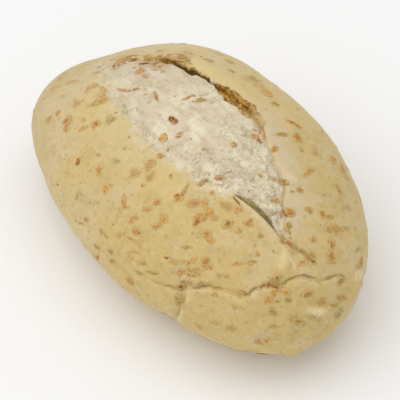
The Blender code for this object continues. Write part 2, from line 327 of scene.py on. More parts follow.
@dataclass(frozen=True)
class Dough:
    """Tones of skin and crumb, which the bran takes up round its edges."""

    pale: Colour = srgb(209, 188, 145)
    yellow: Colour = srgb(210, 184, 121)
    olive: Colour = srgb(192, 168, 108)
    light: Colour = srgb(226, 205, 150)
    line: Colour = srgb(158, 138, 88)
    haze: Colour = srgb(216, 198, 162)
    crumb: Colour = srgb(235, 224, 194)
    crumb_pink: Colour = srgb(224, 207, 180)
    crumb_far: Colour = srgb(198, 181, 152)
    crumb_streak: Colour = srgb(198, 177, 142)
    flecks: tuple[Fleck, ...] = (
        Fleck(3.6, 11, 0.36, 0.34, srgb(198, 156, 92)),
        Fleck(2.1, 29, 0.30, 0.36, srgb(164, 142, 86)),
        Fleck(1.2, 43, 0.24, 0.42, srgb(172, 136, 80)),
    )

    def skin(self, nodes: MaterialNodes) -> Any:
        """Mottles the skin, paler towards the far end.

        Args:
            nodes: The material's nodes.

        Returns:
            The colour.
        """
        slow, quick, fine = nodes.cloud(15), nodes.cloud(4.4, 3), nodes.cloud(1.4, 8)
        toned = (nodes.along() + (slow - 0.5) * 90).above(-42, 2)
        colour = nodes.mix(toned, self.pale, self.yellow)
        colour = nodes.mix(nodes.cloud(9, 35).above(0.52, 0.66) * 0.35, colour, self.haze)
        colour = nodes.mix(quick.above(0.5, 0.7) * 0.4, colour, self.olive)
        colour = nodes.mix(fine.above(0.5, 0.68) * 0.3, colour, self.light)
        colour = nodes.mix(nodes.cracks(2.6, 67) * 0.15, colour, self.line)
        for fleck in self.flecks:
            middle, chance = nodes.spots(fleck.size, fleck.start)
            shown = middle.below(0.1, 0.4) * chance.below(fleck.share - 0.03, fleck.share)
            colour = nodes.mix(shown * fleck.strength, colour, fleck.colour)
        return colour

    def torn(self, nodes: MaterialNodes) -> Any:
        """Colours the crumb in pulled streaks, deeper towards the far end.

        Args:
            nodes: The material's nodes.

        Returns:
            The colour.
        """
        colour = nodes.mix(nodes.cloud(6, 9).above(0.42, 0.6), self.crumb_pink, self.crumb)
        sockets = {"Vector": nodes.mapped((8, 1.8, 1.8), 4), "Scale": 1.0, "Detail": 3.0}
        streaks = Field(nodes, nodes.node("ShaderNodeTexNoise", None, sockets).outputs["Fac"])
        colour = nodes.mix(streaks.above(0.5, 0.62) * 0.35, colour, self.crumb_streak)
        return nodes.mix(nodes.along().below(-40, 6) * 0.5, colour, self.crumb_far)


@dataclass(frozen=True)
class CrustFields:
    """What tells skin, slash and crumb apart: the mesh's own numbers, made ragged by noise."""

    nodes: MaterialNodes
    place: Field
    far: Field
    near: Field
    lip: Field
    opened: Field
    grain: Field
    ragged: Field
    torn_bits: Field
    crumb: Field
    cracks: Field
    granular: Field

    @classmethod
    def read(cls, nodes: MaterialNodes) -> "CrustFields":
        """Reads the mesh's numbers.

        Args:
            nodes: The crust's nodes.

        Returns:
            The fields.
        """
        far, near = nodes.attribute("from_far"), nodes.attribute("from_near")
        lip, opened, grain = map(nodes.attribute, ("lip", "opened", "grain"))
        ragged = (nodes.cloud(3.0, 31) - 0.5) * 5 + (nodes.cloud(0.9, 37) - 0.5) * 3.5
        in_far = (far + ragged * 0.35).above(0.8, 2.4)
        return cls(
            nodes=nodes,
            place=nodes.along(),
            far=far,
            near=near,
            lip=lip,
            opened=opened,
            grain=grain,
            ragged=ragged,
            torn_bits=(nodes.cloud(0.5, 39, 3) - 0.5) * 1.6,
            crumb=in_far * (near + ragged * (1 - lip)).above(-2.2, 1.8) * opened,
            cracks=nodes.cracks(1.6, 17),
            granular=nodes.cloud(1.1, 21, 3).above(0.42, 0.58),
        )


@dataclass(frozen=True)
class CrustFinish:
    """Skin, torn crumb, slash and folds, told apart by the numbers that the mesh carries."""

    dough: Dough = Dough()
    # Painted highlight along the far lip's crest
    painted_crest_highlight: Colour = srgb(224, 200, 140)
    flour: Colour = srgb(230, 210, 170)
    wall: Colour = srgb(190, 144, 56)
    wall_dark: Colour = srgb(128, 90, 30)
    # Painted shade where the slash is deepest
    painted_pit_shade: Colour = srgb(122, 92, 40)
    # Painted shade in the crevice under the near lip, darker where it is deeper
    painted_crevice_shade: Colour = srgb(158, 136, 66)
    painted_crevice_shade_dark: Colour = srgb(128, 106, 50)
    # Painted shade in the folds' grooves
    crease: Colour = srgb(146, 126, 72)
    # Pale cream: crumb bits and the paler near part of the slash's far wall, and painted highlight on
    # the folds' rims and the ridge
    rim: Colour = srgb(228, 208, 158)
    tan: Colour = srgb(178, 134, 68)
    olive: Colour = srgb(156, 132, 72)
    speck: Colour = srgb(150, 132, 90)
    roughness: float = 0.6
    depth: float = 1.0

    def fold(self, nodes: MaterialNodes, name: str) -> tuple[Field, Field]:
        """Tells where the grooves and rims of some folds show, for painted shade in the grooves and
        painted highlight on the rims.

        Args:
            nodes: The material's nodes.
            name: The name under which the mesh carries the distance from them.

        Returns:
            The groove's mask and the rim's.
        """
        aside = nodes.attribute(name) + (nodes.cloud(2.0, 51) - 0.5) * 1.5
        shown = nodes.attribute(f"{name}_shown")
        groove = aside.bare().below(0.05, 0.4) * nodes.cloud(4.5, 57).above(0.42, 0.56) * shown
        rim = aside.above(0.15, 0.7) * aside.below(1.0, 3.0) * shown
        return groove, rim * nodes.cloud(5, 53).above(0.36, 0.6)

    @staticmethod
    def blotches(nodes: MaterialNodes, name: str) -> Field:
        """Breaks a stain up into a soft ground with denser speckles.

        Args:
            nodes: The material's nodes.
            name: The stain's mask.

        Returns:
            The stain's strength.
        """
        mask = nodes.attribute(name)
        rim = mask + (nodes.cloud(1.4, 71) - 0.5) * 1.2
        speckles = rim + (nodes.cloud(0.5, 73, 3) - 0.5) * 2.6
        strength = rim.above(0.1, 1.0) * 0.45 + speckles.above(0.55, 1.05) * 0.5
        return strength * mask.above(0.02, 0.25)

    @staticmethod
    def slash(at: CrustFields) -> tuple[Field, Field]:
        """Tells where the slash's far wall and the crevice under its near lip show; the crevice takes
        painted shade.

        Args:
            at: The crust's fields.

        Returns:
            The wall's mask and the crevice's.
        """
        far, near, ragged, torn_bits = at.far, at.near, at.ragged, at.torn_bits
        place, lip, opened = at.place, at.lip, at.opened
        broad = place.above(-11, -6) * place.below(4, 10)
        shelf = (far + ragged * 0.3 + torn_bits + broad * 1.4).above(-0.3, 0.1)
        shelf = shelf * (far + ragged * 0.4 + torn_bits - broad * 2.0).below(1.4, 2.2)
        wall = shelf * at.nodes.attribute("far").above(0.24, 0.34) * opened
        inner_rim = near + ragged * 0.25 + torn_bits * 0.4 + (1 - lip) * 3.0
        # The crevice under the near lip, which takes painted shade
        under_lip = near.above(-0.1, 0.3) * inner_rim.below(2.7, 3.6) * lip.above(0.05, 0.4)
        return wall, under_lip * opened.above(0, 0.35)

    def skin(self, at: CrustFields) -> Any:
        """Colours the skin: painted highlight on the far lip's crest and on the shoulder beside the
        slash, a hazy side beyond the slash, and painted shade round the far end.

        Args:
            at: The crust's fields.

        Returns:
            The colour.
        """
        nodes, far, near, place = at.nodes, at.far, at.near, at.place
        skin = self.dough.skin(nodes)
        # Painted highlight on the far lip's crest
        skin = nodes.mix(nodes.attribute("painted_crest_highlight") * 0.7, skin, self.painted_crest_highlight)
        # Painted highlight on the shoulder beside the slash's near edge
        painted_shoulder_highlight = near.above(-14, -4) * place.below(8, 20) * place.above(-42, -32)
        skin = nodes.mix(painted_shoulder_highlight * 0.3, skin, self.dough.light)
        dusted = far.above(-11, -1.5) * far.below(0.5, 2) * place.above(-4, 8)
        dusted = dusted * place.below(34, 42) * (nodes.cloud(4, 65).above(0.35, 0.6) * 0.4 + 0.5)
        skin = nodes.mix(dusted, skin, self.dough.haze)
        greyed = far.below(-4, -1) * place.above(16, 28) * nodes.cloud(6, 75).above(0.42, 0.6)
        skin = nodes.mix(greyed * 0.25, skin, self.dough.haze)
        # Painted shade round the far end and on its near flank
        painted_end_shade = near.below(-28, -18) * place.below(-36, -26) * 0.4 + place.below(-48, -40) * 0.4
        return nodes.mix(painted_end_shade, skin, self.dough.olive)

    def torn_crumb(self, at: CrustFields) -> Any:
        """Colours the crumb, with its cracks, granules and specks.

        Args:
            at: The crust's fields.

        Returns:
            The colour.
        """
        nodes, grain = at.nodes, at.grain
        inner = nodes.mix(at.cracks * (grain * 0.2 + 0.1), self.dough.torn(nodes), self.speck)
        middle, chance = nodes.spots(1.1, 23)
        granules = middle.below(0.1, 0.4) * chance.above(0.78, 0.84) * (grain * 0.8 + 0.2)
        inner = nodes.mix(granules * 0.6, inner, self.olive)
        middle, chance = nodes.spots(0.7, 41)
        specks = middle.below(0.15, 0.45) * chance.above(0.6, 0.7)
        specks = specks * nodes.cloud(3.5, 45).above(0.47, 0.57) * (grain * 0.5 + 0.5)
        return nodes.mix(specks * 0.55, inner, self.speck)

    def stained(self, at: CrustFields, colour: Any) -> Any:
        """Lays flour, tan and olive stains over a colour.

        Args:
            at: The crust's fields.
            colour: The colour below.

        Returns:
            The stained colour.
        """
        nodes = at.nodes
        colour = nodes.mix(self.blotches(nodes, "flour") * 0.9, colour, self.flour)
        colour = nodes.mix(self.blotches(nodes, "tan") * 0.85, colour, self.tan)
        olive_spots = self.blotches(nodes, "olive") * (0.85 - at.crumb * 0.4)
        return nodes.mix(olive_spots, colour, self.olive)

    def open_bran(self, at: CrustFields) -> Any:
        """Colours the bran that lies open along the slash's far edge, with painted shade where the
        slash is deepest.

        Args:
            at: The crust's fields.

        Returns:
            The colour.
        """
        nodes, place = at.nodes, at.place
        # Painted shade over the bran where the slash is deepest
        painted_deep_shade = place.above(-27, -23) * place.below(-11, -7) * 0.8
        bran = nodes.mix(at.granular, self.wall_dark, self.wall)
        bran = nodes.mix(painted_deep_shade, bran, self.painted_pit_shade)
        middle, chance = nodes.spots(1.3, 91)
        bits = middle.below(0.2, 0.45) * chance.above(0.55, 0.65) * place.above(-10, -7)
        bran = nodes.mix(bits * 0.75, bran, self.rim)
        return nodes.mix(place.above(1, 6) * 0.4, bran, self.rim)

    def slashed(self, at: CrustFields, colour: Any) -> Any:
        """Lays the slash's torn edge, wall and streak over a colour, and painted shade in the crevice
        under the near lip.

        Args:
            at: The crust's fields.
            colour: The colour below.

        Returns:
            The colour with the slash.
        """
        nodes = at.nodes
        wall, under_lip = self.slash(at)
        bran = self.open_bran(at)
        torn_edge = nodes.attribute("torn") * nodes.cloud(1.8, 61).above(0.4, 0.58)
        colour = nodes.mix(torn_edge * 0.85, colour, bran)
        colour = nodes.mix(wall, colour, bran)
        streak = nodes.attribute("streak") + (nodes.cloud(1.6, 83, 3) - 0.5) * 2.4
        streak = streak.bare().below(0.1, 0.9) * nodes.attribute("streak_shown")
        colour = nodes.mix(streak * 0.6, colour, self.olive)
        # Painted shade in the crevice under the near lip, darker where it is deeper
        deeper = (at.near + at.ragged * 0.2).above(0.9, 1.9)
        painted_crevice_shade = nodes.mix(deeper, self.painted_crevice_shade_dark, self.painted_crevice_shade)
        return nodes.mix(under_lip * (at.granular * 0.2 + 0.8), colour, painted_crevice_shade)

    def make(self) -> bpy.types.Material:
        """Builds the material.

        Returns:
            The material.
        """
        nodes = MaterialNodes("part_baked_crust")
        at = CrustFields.read(nodes)
        colour = nodes.mix(at.crumb, self.skin(at), self.torn_crumb(at))
        colour = self.slashed(at, self.stained(at, colour))
        groove, rim = self.fold(nodes, "fold")
        side_groove, side_rim = self.fold(nodes, "crease")
        groove, rim = groove + side_groove, rim + side_rim
        ridge = nodes.attribute("ridge").bare().below(0.6, 1.8) * nodes.attribute("ridge_shown")
        # Painted highlight on the folds' rims and along the ridge
        colour = nodes.mix(rim * 0.3 + ridge * 0.5, colour, self.rim)
        # Painted shade in the folds' grooves
        colour = nodes.mix(groove * 0.5, colour, self.crease)
        rough_crumb = (nodes.cloud(0.6, 5, 3) - 0.5) * (at.grain * 0.3 + 0.12) * at.crumb
        height = (nodes.cloud(1.1, 7, 3) - 0.5) * 0.12 + rough_crumb
        height = height + at.cracks * at.crumb * -0.06 + rim * 0.25 - groove * 0.25
        return nodes.finish(
            {
                "Base Color": colour,
                "Roughness": at.crumb * 0.3 + self.roughness,
                "Subsurface Weight": 0.35,
                "Subsurface Radius": (1.0, 0.6, 0.3),
                "Subsurface Scale": self.depth * MM,
                "Specular IOR Level": 0.35,
                "Normal": nodes.bump(height),
            }
        )


@dataclass(frozen=True)
class FlakeFinish:
    """Bran or crumb chips that melt into the dough at their rims, toned chip by chip."""

    name: str
    light: Colour
    dark: Colour
    patch: Colour
    dough: Dough = Dough()
    melt: float = 0.24
    filled: float = 0.22
    raggedness: float = 1.1
    roughness: float = 0.7

    def make(self) -> bpy.types.Material:
        """Builds the material.

        Returns:
            The material.
        """
        nodes = MaterialNodes(self.name)
        dough = self.dough
        ground = nodes.mix(nodes.attribute("ground"), dough.skin(nodes), dough.torn(nodes))
        inside = nodes.attribute("inside") + nodes.attribute("solid") * self.filled
        inside = inside + (nodes.cloud(0.8, 2, 3) - 0.5) * self.raggedness
        core = nodes.mix(nodes.attribute("tone"), self.light, self.dark)
        patches = nodes.cloud(0.6, 12, 3)
        core = nodes.mix(patches.above(0.5, 0.62) * 0.6, core, self.patch)
        core = nodes.mix(patches.below(0.38, 0.46) * 0.4, core, ground)
        halo = nodes.mix(0.55, self.light, ground)
        colour = nodes.mix(inside.above(self.melt * 0.2, self.melt), ground, halo)
        colour = nodes.mix(inside.above(self.melt * 0.8, self.melt * 2), colour, core)
        return nodes.finish(
            {
                "Base Color": colour,
                "Roughness": patches * 0.2 + (self.roughness - 0.1),
                "Subsurface Weight": 0.2,
                "Subsurface Radius": (1.0, 0.5, 0.2),
                "Subsurface Scale": 0.4 * MM,
                "Specular IOR Level": 0.3,
                "Normal": nodes.bump(nodes.cloud(0.4, 7) * 0.08),
            }
        )


@dataclass(frozen=True)
class FloorFinish:
    """Matt, almost white board."""

    colour: Colour = (0.96, 0.96, 0.96, 1)

    def make(self) -> bpy.types.Material:
        """Builds the material.

        Returns:
            The material.
        """
        nodes = MaterialNodes("pale_floor")
        shade = nodes.mix(nodes.cloud(40).above(0.3, 0.7) * 0.01, self.colour, (0.9, 0.9, 0.9, 1))
        return nodes.finish({"Base Color": shade, "Roughness": 0.9, "Specular IOR Level": 0.1})


# --- Form ---------------------------------------------------------------------------------------


def read_curve(points: Sequence[Sequence[float]], at: Any) -> np.ndarray:
    """Reads a smooth curve through points whose first column rises.

    Args:
        points: Rows of a place and the values there.
        at: The places to read.

    Returns:
        One column for each value.
    """
    knots = np.array(points, float)
    place, value = knots[:, 0], knots[:, 1:]
    slope = np.gradient(value, place, axis=0)
    at = np.asarray(at, float)
    first = np.clip(np.searchsorted(place, at) - 1, 0, len(place) - 2)
    step = place[first + 1] - place[first]
    part = np.clip((at - place[first]) / step, 0, 1)[..., None]
    step = step[..., None]
    rest = 1 - part
    return (
        value[first] * (1 + 2 * part) * rest**2
        + slope[first] * step * part * rest**2
        + value[first + 1] * (3 - 2 * part) * part**2
        - slope[first + 1] * step * rest * part**2
    )


def unit(vectors: np.ndarray) -> np.ndarray:
    """The vectors at length 1."""
    return vectors / np.linalg.norm(vectors, axis=-1, keepdims=True)


def rise(low: float, high: float, value: np.ndarray) -> np.ndarray:
    """0 up to low, 1 from high on, and smooth between."""
    part = np.clip((value - low) / (high - low), 0, 1)
    return part * part * (3 - 2 * part)


def noise_over(points: np.ndarray, size: Any, seed: float) -> np.ndarray:
    """Noise at points.

    Args:
        points: Rows of coordinates.
        size: Size of the swells, one number or one for each axis.
        seed: Where in the noise the points lie.

    Returns:
        Numbers from about -1 to 1.
    """
    start = np.array((seed, 2 * seed, 3 * seed), float)
    return np.array([noise.noise(Vector(point)) for point in points / size + start])


@dataclass(frozen=True)
class Fold:
    """A crease along a path of places (along X, angle in degrees), with a rim on its left side.

    Its line is the name under which the mesh carries the distance from it. A negative depth
    raises a ridge.
    """

    path: Rows
    depth: float
    width: float
    rim: float = 0.0
    rim_reach: float = 1.6
    line: str = "crease"


@dataclass(frozen=True)
class Relief:
    """The plain roll at its vertices: points, and the distances and lines that dress them."""

    points: np.ndarray
    place: np.ndarray
    from_far: np.ndarray
    from_near: np.ndarray
    narrow: np.ndarray
    lines: dict[str, np.ndarray]


@dataclass
class RollForm:
    """The roll's form in millimetres, which is the solid's own.

    A station runs from -1 at the far end to 1 at the near end, and an angle from 0 at the far
    side (+Y) over 90 degrees at the top to 180 at the near side (-Y).
    """

    length: float
    width: float
    height: float
    slim: float = 0.016
    lift: float = 0.054
    bend: float = 4.9
    lean: float = 0.9
    base_rounding: float = 1.6
    bulges: Rows = (
        (-50, 175, -0.3),
        (-38, 180, -1.0),
        (-15, 180, -1.1),
        (5, 190, 0.7),
        (25, 195, -0.6),
        (42, 200, 0.5),
        (52, 225, 0.5),
        (30, 8, -0.3),
        (-32, 35, 2.3),
        (-43, 60, -1.4),
        (-48, 110, -0.7),
        (-53, 150, 0.7),
    )
    bulge_reach: float = 13.0
    dents: Rows = (
        (-34.5, 188, -0.9),
        (-42, 183, -0.35),
        (22.5, 203, -0.6),
        (-2, 198, -0.4),
        (-48.5, 60, -0.5),
        (-17, 29, 0.4),
        (24, 16, -0.4),
        (49, -4, -0.3),
    )
    dent_reach: float = 4.0
    blisters: Rows = ((53.5, 112, 0.9), (50.5, 226, 1.2), (50.0, 24, 0.8))
    blister_reach: float = 1.6
    lump_size: float = 17.0
    lump_height: float = 0.35
    far_edge: Rows = (
        (-47, -1.5),
        (-41, 1.6),
        (-37, 3.4),
        (-31, 7.4),
        (-27, 10.6),
        (-21, 12.5),
        (-13, 14.0),
        (-5, 14.4),
        (3, 14.9),
        (8, 14.4),
        (13.5, 11.8),
        (19, 9.3),
        (23.5, 8.0),
        (27.5, 5.2),
        (31, 2.6),
        (34, 0.6),
        (38, -3.6),
    )
    near_edge: Rows = (
        (-47, -1.8),
        (-41, -2.4),
        (-36, -4.4),
        (-29, -8.0),
        (-24, -9.9),
        (-19, -10.7),
        (-13, -11.6),
        (-6, -13.2),
        (2, -13.0),
        (8, -11.9),
        (13, -11.6),
        (18, -9.2),
        (23, -6.6),
        (27, -5.8),
        (31, -5.2),
        (38, -4.6),
    )
    far_strength: Rows = (
        (-47, 0),
        (-42, 0.1),
        (-36, 0.2),
        (-30, 0.35),
        (-26, 0.6),
        (-22, 1),
        (-12, 1),
        (-8, 0.7),
        (-4, 0.52),
        (4, 0.45),
        (9, 0.35),
        (15, 0.25),
        (34, 0.2),
        (39, 0),
    )
    near_strength: Rows = ((21, 0), (23.5, 0.45), (26, 0.85), (30, 1), (34, 0.85), (37, 0.5), (40, 0))
    shoulder_strength: Rows = ((-47, 0), (-36, 0.7), (-20, 1), (10, 1), (17, 0.4), (23, 0))
    far_profile: Rows = (
        (-8, 0, 0),
        (-5, 0.1, 0.4),
        (-3, 0.4, 0.8),
        (-1.5, 0.9, 1.05),
        (-0.6, 1.2, 0.85),
        (-0.1, 1.1, 0.3),
        (0.3, 0.3, -0.7),
        (0.6, -0.3, -1.6),
        (0.9, -0.4, -2.1),
        (1.3, -0.2, -1.5),
        (1.9, 0, -0.7),
        (2.8, 0, -0.25),
        (4, 0, 0),
        (6.5, 0, 0),
    )
    near_profile: Rows = (
        (-6, 0, 0),
        (-3.5, 0.1, 0.2),
        (-1.6, 0.3, 0.4),
        (-0.6, 0.5, 0.45),
        (-0.1, 0.5, 0.1),
        (0.3, 0.1, -0.6),
        (0.7, -0.3, -1.4),
        (1.3, -0.4, -1.9),
        (2.0, -0.2, -1.9),
        (2.8, 0, -1.2),
        (3.8, 0, -0.4),
        (5, 0, 0),
    )
    shoulder_profile: Rows = (
        (-6, 0, 0),
        (-2.5, 0, 0.4),
        (-0.5, 0.2, 0.35),
        (1.5, 0, -0.35),
        (5, 0, 0),
    )
    least_opening: float = 1.0
    crumb_width: float = 3.5
    crumb_dome: float = 1.3
    crumb_size: float = 4.5
    crumb_height: float = 0.55
    loop_shares: tuple[float, ...] = (0.0, 0.03, 0.20, 0.34, 0.48, 0.61, 0.97, 1.0)
    flank_ends: tuple[float, float] = (-20, 205)
    folds: tuple[Fold, ...] = (
        Fold(
            (
                (15, 169),
                (19.1, 167.3),
                (21.2, 166.4),
                (26.2, 161.5),
                (33.3, 148.5),
                (37.8, 144.3),
                (40.7, 142.5),
                (41.5, 135.3),
                (42.1, 130.6),
                (43.3, 126.3),
                (45, 121.5),
                (45.3, 117.1),
                (46.4, 105.1),
                (47.9, 97.9),
                (49.7, 89.7),
                (49.9, 79.6),
                (50.2, 69.5),
                (51.2, 54.5),
                (51.2, 41.2),
            ),
            depth=0.42,
            width=0.48,
            rim=0.5,
            rim_reach=1.8,
            line="fold",
        ),
        Fold(
            ((23.5, 212), (25, 200), (26.2, 191), (27.7, 179.4), (28.7, 165.6), (28.6, 159)),
            depth=0.5,
            width=0.7,
            rim=0.5,
            rim_reach=2.2,
        ),
        Fold(((36.5, 98), (39, 99), (41, 96), (43.5, 92), (46, 89.5)), 0.4, 0.7, line="streak"),
        Fold(((38.5, 100), (40, 101), (42, 107), (43, 116)), -0.9, 1.4, line="ridge"),
        Fold(((-11, 174), (-9, 172), (-5, 168), (-1, 168)), 0.4, 0.8, 0.2),
    )
    fold_steps: int = 90
    fold_reach: float = 12.0
    raggedness: Rows = ((3.4, 0.9), (1.4, 0.5))

    @property
    def half_length(self) -> float:
        """Half the roll's length."""
        return self.length / 2

    @property
    def half_width(self) -> float:
        """Half the roll's width."""
        return self.width / 2

    @property
    def seat(self) -> float:
        """Height of the section centres above the base."""
        return 0.443 * self.height

    @property
    def half_height(self) -> float:
        """Half height of the widest section, above which the torn crumb still rises."""
        return 0.525 * self.height

    def section(self, station: np.ndarray) -> tuple[np.ndarray, np.ndarray, np.ndarray]:
        """Works out the section at a station.

        Args:
            station: Stations, -1 to 1.

        Returns:
            Its half width, half height and sideways shift.
        """
        round_off = np.sqrt(np.clip(1 - station**2, 0, 1))
        half_width = self.half_width * round_off * (1 - self.slim * station)
        half_height = self.half_height * round_off * (1 + self.lift * station)
        shift = self.lean * station - self.bend * (station**2 - 1 / 3)
        return half_width, half_height, shift

    def body_point(self, station: np.ndarray, angle: np.ndarray) -> np.ndarray:
        """Finds points of the smooth body.

        Args:
            station: Stations, -1 to 1.
            angle: Angles in radians.

        Returns:
            The points.
        """
        half_width, half_height, shift = self.section(station)
        across = half_width * np.cos(angle) + shift
        up = half_height * np.sin(angle) + self.seat
        return np.stack([self.half_length * station, across, up], axis=-1)

    def body_normal(self, station: np.ndarray, angle: np.ndarray) -> np.ndarray:
        """Finds the outward directions of the smooth body.

        Args:
            station: Stations, -1 to 1.
            angle: Angles in radians.

        Returns:
            The directions, of length 1.
        """
        round_off = np.sqrt(np.clip(1 - station**2, 0, 1))
        across = round_off * np.cos(angle) / self.half_width
        up = round_off * np.sin(angle) / self.half_height
        return unit(np.stack([station / self.half_length, across, up], axis=-1))

    def body_across(self, angle: np.ndarray) -> np.ndarray:
        """Finds the directions over the surface, square to X, towards a rising angle.

        Args:
            angle: Angles in radians.

        Returns:
            The directions, of length 1.
        """
        across = -self.half_width * np.sin(angle)
        up = self.half_height * np.cos(angle)
        return unit(np.stack([np.zeros_like(angle), across, up], axis=-1))

    def on_body(self, place: Any, degrees: Any) -> tuple[np.ndarray, np.ndarray]:
        """Finds the body at places and angles.

        Args:
            place: Places along X in millimetres.
            degrees: Angles in degrees.

        Returns:
            Points and normals.
        """
        station = np.asarray(place, float) / self.half_length
        angle = np.radians(np.asarray(degrees, float))
        return self.body_point(station, angle), self.body_normal(station, angle)

    def edge_angle(self, edge: Rows, station: np.ndarray) -> np.ndarray:
        """Finds where an edge of the slash crosses a section.

        Args:
            edge: Rows of a place along X and the edge's place along Y.
            station: Stations, -1 to 1.

        Returns:
            The angles in radians.
        """
        half_width, _, shift = self.section(station)
        across = read_curve(edge, self.half_length * station)[..., 0]
        return np.arccos(np.clip((across - shift) / np.maximum(half_width, 1), -0.6, 0.6))

    def loop_angle(self, station: np.ndarray, loop: np.ndarray) -> tuple[np.ndarray, ...]:
        """Where a loop crosses a section.

        Args:
            station: Stations, -1 to 1.
            loop: Loops, 0 to 1 round the roll from the middle of the base.

        Returns:
            The angle, the distances over the surface from the far and the near edge, above 0 in
            the opening, and how far the profiles are squeezed where the opening is narrow.
        """
        half_width, _, _ = self.section(station)
        spread = np.maximum(half_width, 0.45 * self.half_width)
        far = self.edge_angle(self.far_edge, station)
        near = self.edge_angle(self.near_edge, station)
        middle = (far + near) / 2
        opening = np.maximum((near - far) * spread, self.least_opening)
        far_in, near_in = self.far_profile[-1][0], self.near_profile[-1][0]
        squeeze = np.minimum(opening / (far_in + near_in + self.crumb_width), 1)
        far = middle - opening / spread / 2
        near = middle + opening / spread / 2
        anchors = (
            np.full_like(far, -math.pi / 2),
            np.full_like(far, math.radians(self.flank_ends[0])),
            far + self.far_profile[0][0] / spread,
            far + squeeze * far_in / spread,
            near - squeeze * near_in / spread,
            near - self.near_profile[0][0] / spread,
            np.full_like(far, math.radians(self.flank_ends[1])),
            np.full_like(far, 1.5 * math.pi),
        )
        angle = anchors[0].copy()
        shares = self.loop_shares
        for start, end, low, high in zip(anchors, anchors[1:], shares, shares[1:]):
            angle += (end - start) * np.clip((loop - low) / (high - low), 0, 1)
        return angle, (angle - far) * spread, (near - angle) * spread, squeeze

    @staticmethod
    def edge_relief(
        profile: Rows,
        strength: Rows,
        place: np.ndarray,
        distance: np.ndarray,
        squeeze: np.ndarray,
    ) -> tuple[np.ndarray, np.ndarray]:
        """Works out what an edge of the slash adds to the body.

        Args:
            profile: Shift and height by the distance from the edge.
            strength: Share of the profile by the place along X.
            place: Places along X.
            distance: Distances from the edge, above 0 in the opening.
            squeeze: How far the profile is squeezed where the opening is narrow.

        Returns:
            Sideways shift towards the opening, and height.
        """
        narrow = np.where(distance > 0, squeeze, 1)
        relief = read_curve(profile, distance / narrow)
        amount = read_curve(strength, place)[..., 0] * np.sqrt(narrow)
        return relief[..., 0] * amount * narrow, relief[..., 1] * amount

    def fold_relief(
        self, points: np.ndarray, fold: Fold, lines: dict[str, np.ndarray]
    ) -> np.ndarray:
        """Height that a fold adds at the body's points.

        Args:
            points: The body's points.
            fold: The fold.
            lines: Distances from the lines, which take this fold's own.

        Returns:
            The height.
        """
        knots = np.array(fold.path, float)
        steps = np.linspace(0, len(knots) - 1, self.fold_steps)
        path = read_curve([(i, *knot) for i, knot in enumerate(knots)], steps)
        centres, normals = self.on_body(path[:, 0], path[:, 1])
        along = unit(np.gradient(centres, axis=0))
        left = unit(np.cross(along, normals))
        height = np.zeros(len(points))
        low = centres.min(axis=0) - self.fold_reach
        high = centres.max(axis=0) + self.fold_reach
        near = np.flatnonzero(((points > low) & (points < high)).all(axis=-1))
        apart = np.linalg.norm(points[near, None, :] - centres[None], axis=-1)
        nearest = apart.argmin(axis=1)
        offset = points[near] - centres[nearest]
        aside = (offset * left[nearest]).sum(axis=-1)
        beyond = (offset * along[nearest]).sum(axis=-1)
        from_end = np.minimum(nearest, self.fold_steps - 1 - nearest)
        ends = np.clip(from_end / (0.15 * self.fold_steps), 0, 1)
        fade = ends * np.exp(-((beyond / 2) ** 2)) * (apart.min(axis=1) < self.fold_reach)
        groove = np.exp(-((aside / fold.width) ** 2))
        reach = np.maximum(aside, 0) / fold.rim_reach
        height[near] = fade * (fold.rim * reach * np.exp(1 - reach) - fold.depth * groove)
        shown = fade * rise(-4, -2.5, -np.abs(aside))
        closer = shown > lines[f"{fold.line}_shown"][near]
        lines[fold.line][near[closer]] = aside[closer]
        lines[f"{fold.line}_shown"][near[closer]] = shown[closer]
        return height

    def swell_relief(self, points: np.ndarray, swells: Rows, reach: float) -> np.ndarray:
        """Works out what rounded swells or blisters add to the body.

        Args:
            points: The body's points.
            swells: Rows of place along X, angle in degrees and height.
            reach: How far they reach.

        Returns:
            The height.
        """
        height = np.zeros(len(points))
        for place, degrees, top in swells:
            centre, _ = self.on_body(place, degrees)
            height += top * np.exp(-((points - centre) ** 2).sum(axis=-1) / (2 * reach**2))
        return height

    def relief(self, station: np.ndarray, loop: np.ndarray) -> Relief:
        """Shapes the plain roll, before its base is flattened.

        Args:
            station: Stations, -1 to 1.
            loop: As many loops, 0 to 1.

        Returns:
            The roll at its vertices.
        """
        angle, from_far, from_near, squeeze = self.loop_angle(station, loop)
        place = self.half_length * station
        points = self.body_point(station, angle)
        wide = rise(2, 6, from_far + from_near)
        for size, reach in self.raggedness:
            from_far += reach * wide * noise_over(points, size, SEED + size)
        edges = (
            (self.far_profile, self.far_strength, from_far, 1),
            (self.near_profile, self.near_strength, from_near, -1),
            (self.shoulder_profile, self.shoulder_strength, from_near, -1),
        )
        shift, height = np.zeros(len(points)), np.zeros(len(points))
        for profile, strength, distance, way in edges:
            aside, up = self.edge_relief(profile, strength, place, distance, squeeze)
            shift += way * aside
            height += up
        share = np.clip(from_far / np.maximum(from_far + from_near, 0.1), 0, 1)
        opened = np.clip((from_far + from_near - self.least_opening) / 12, 0, 1)
        opened = opened * np.sin(math.pi * share)
        height += self.crumb_dome * opened
        height += self.crumb_height * opened * noise_over(points, self.crumb_size, SEED)
        height += self.lump_height * noise_over(points, self.lump_size, SEED + 1)
        height += self.swell_relief(points, self.bulges, self.bulge_reach)
        height += self.swell_relief(points, self.dents, self.dent_reach)
        height += self.swell_relief(points, self.blisters, self.blister_reach)
        lines: dict[str, np.ndarray] = {}
        for fold in self.folds:
            lines.setdefault(fold.line, np.full(len(points), self.fold_reach))
            lines.setdefault(f"{fold.line}_shown", np.zeros(len(points)))
            height += self.fold_relief(points, fold, lines)
        points = points + self.body_normal(station, angle) * height[:, None]
        points = points + self.body_across(angle) * shift[:, None]
        return Relief(points, place, from_far, from_near, squeeze, lines)

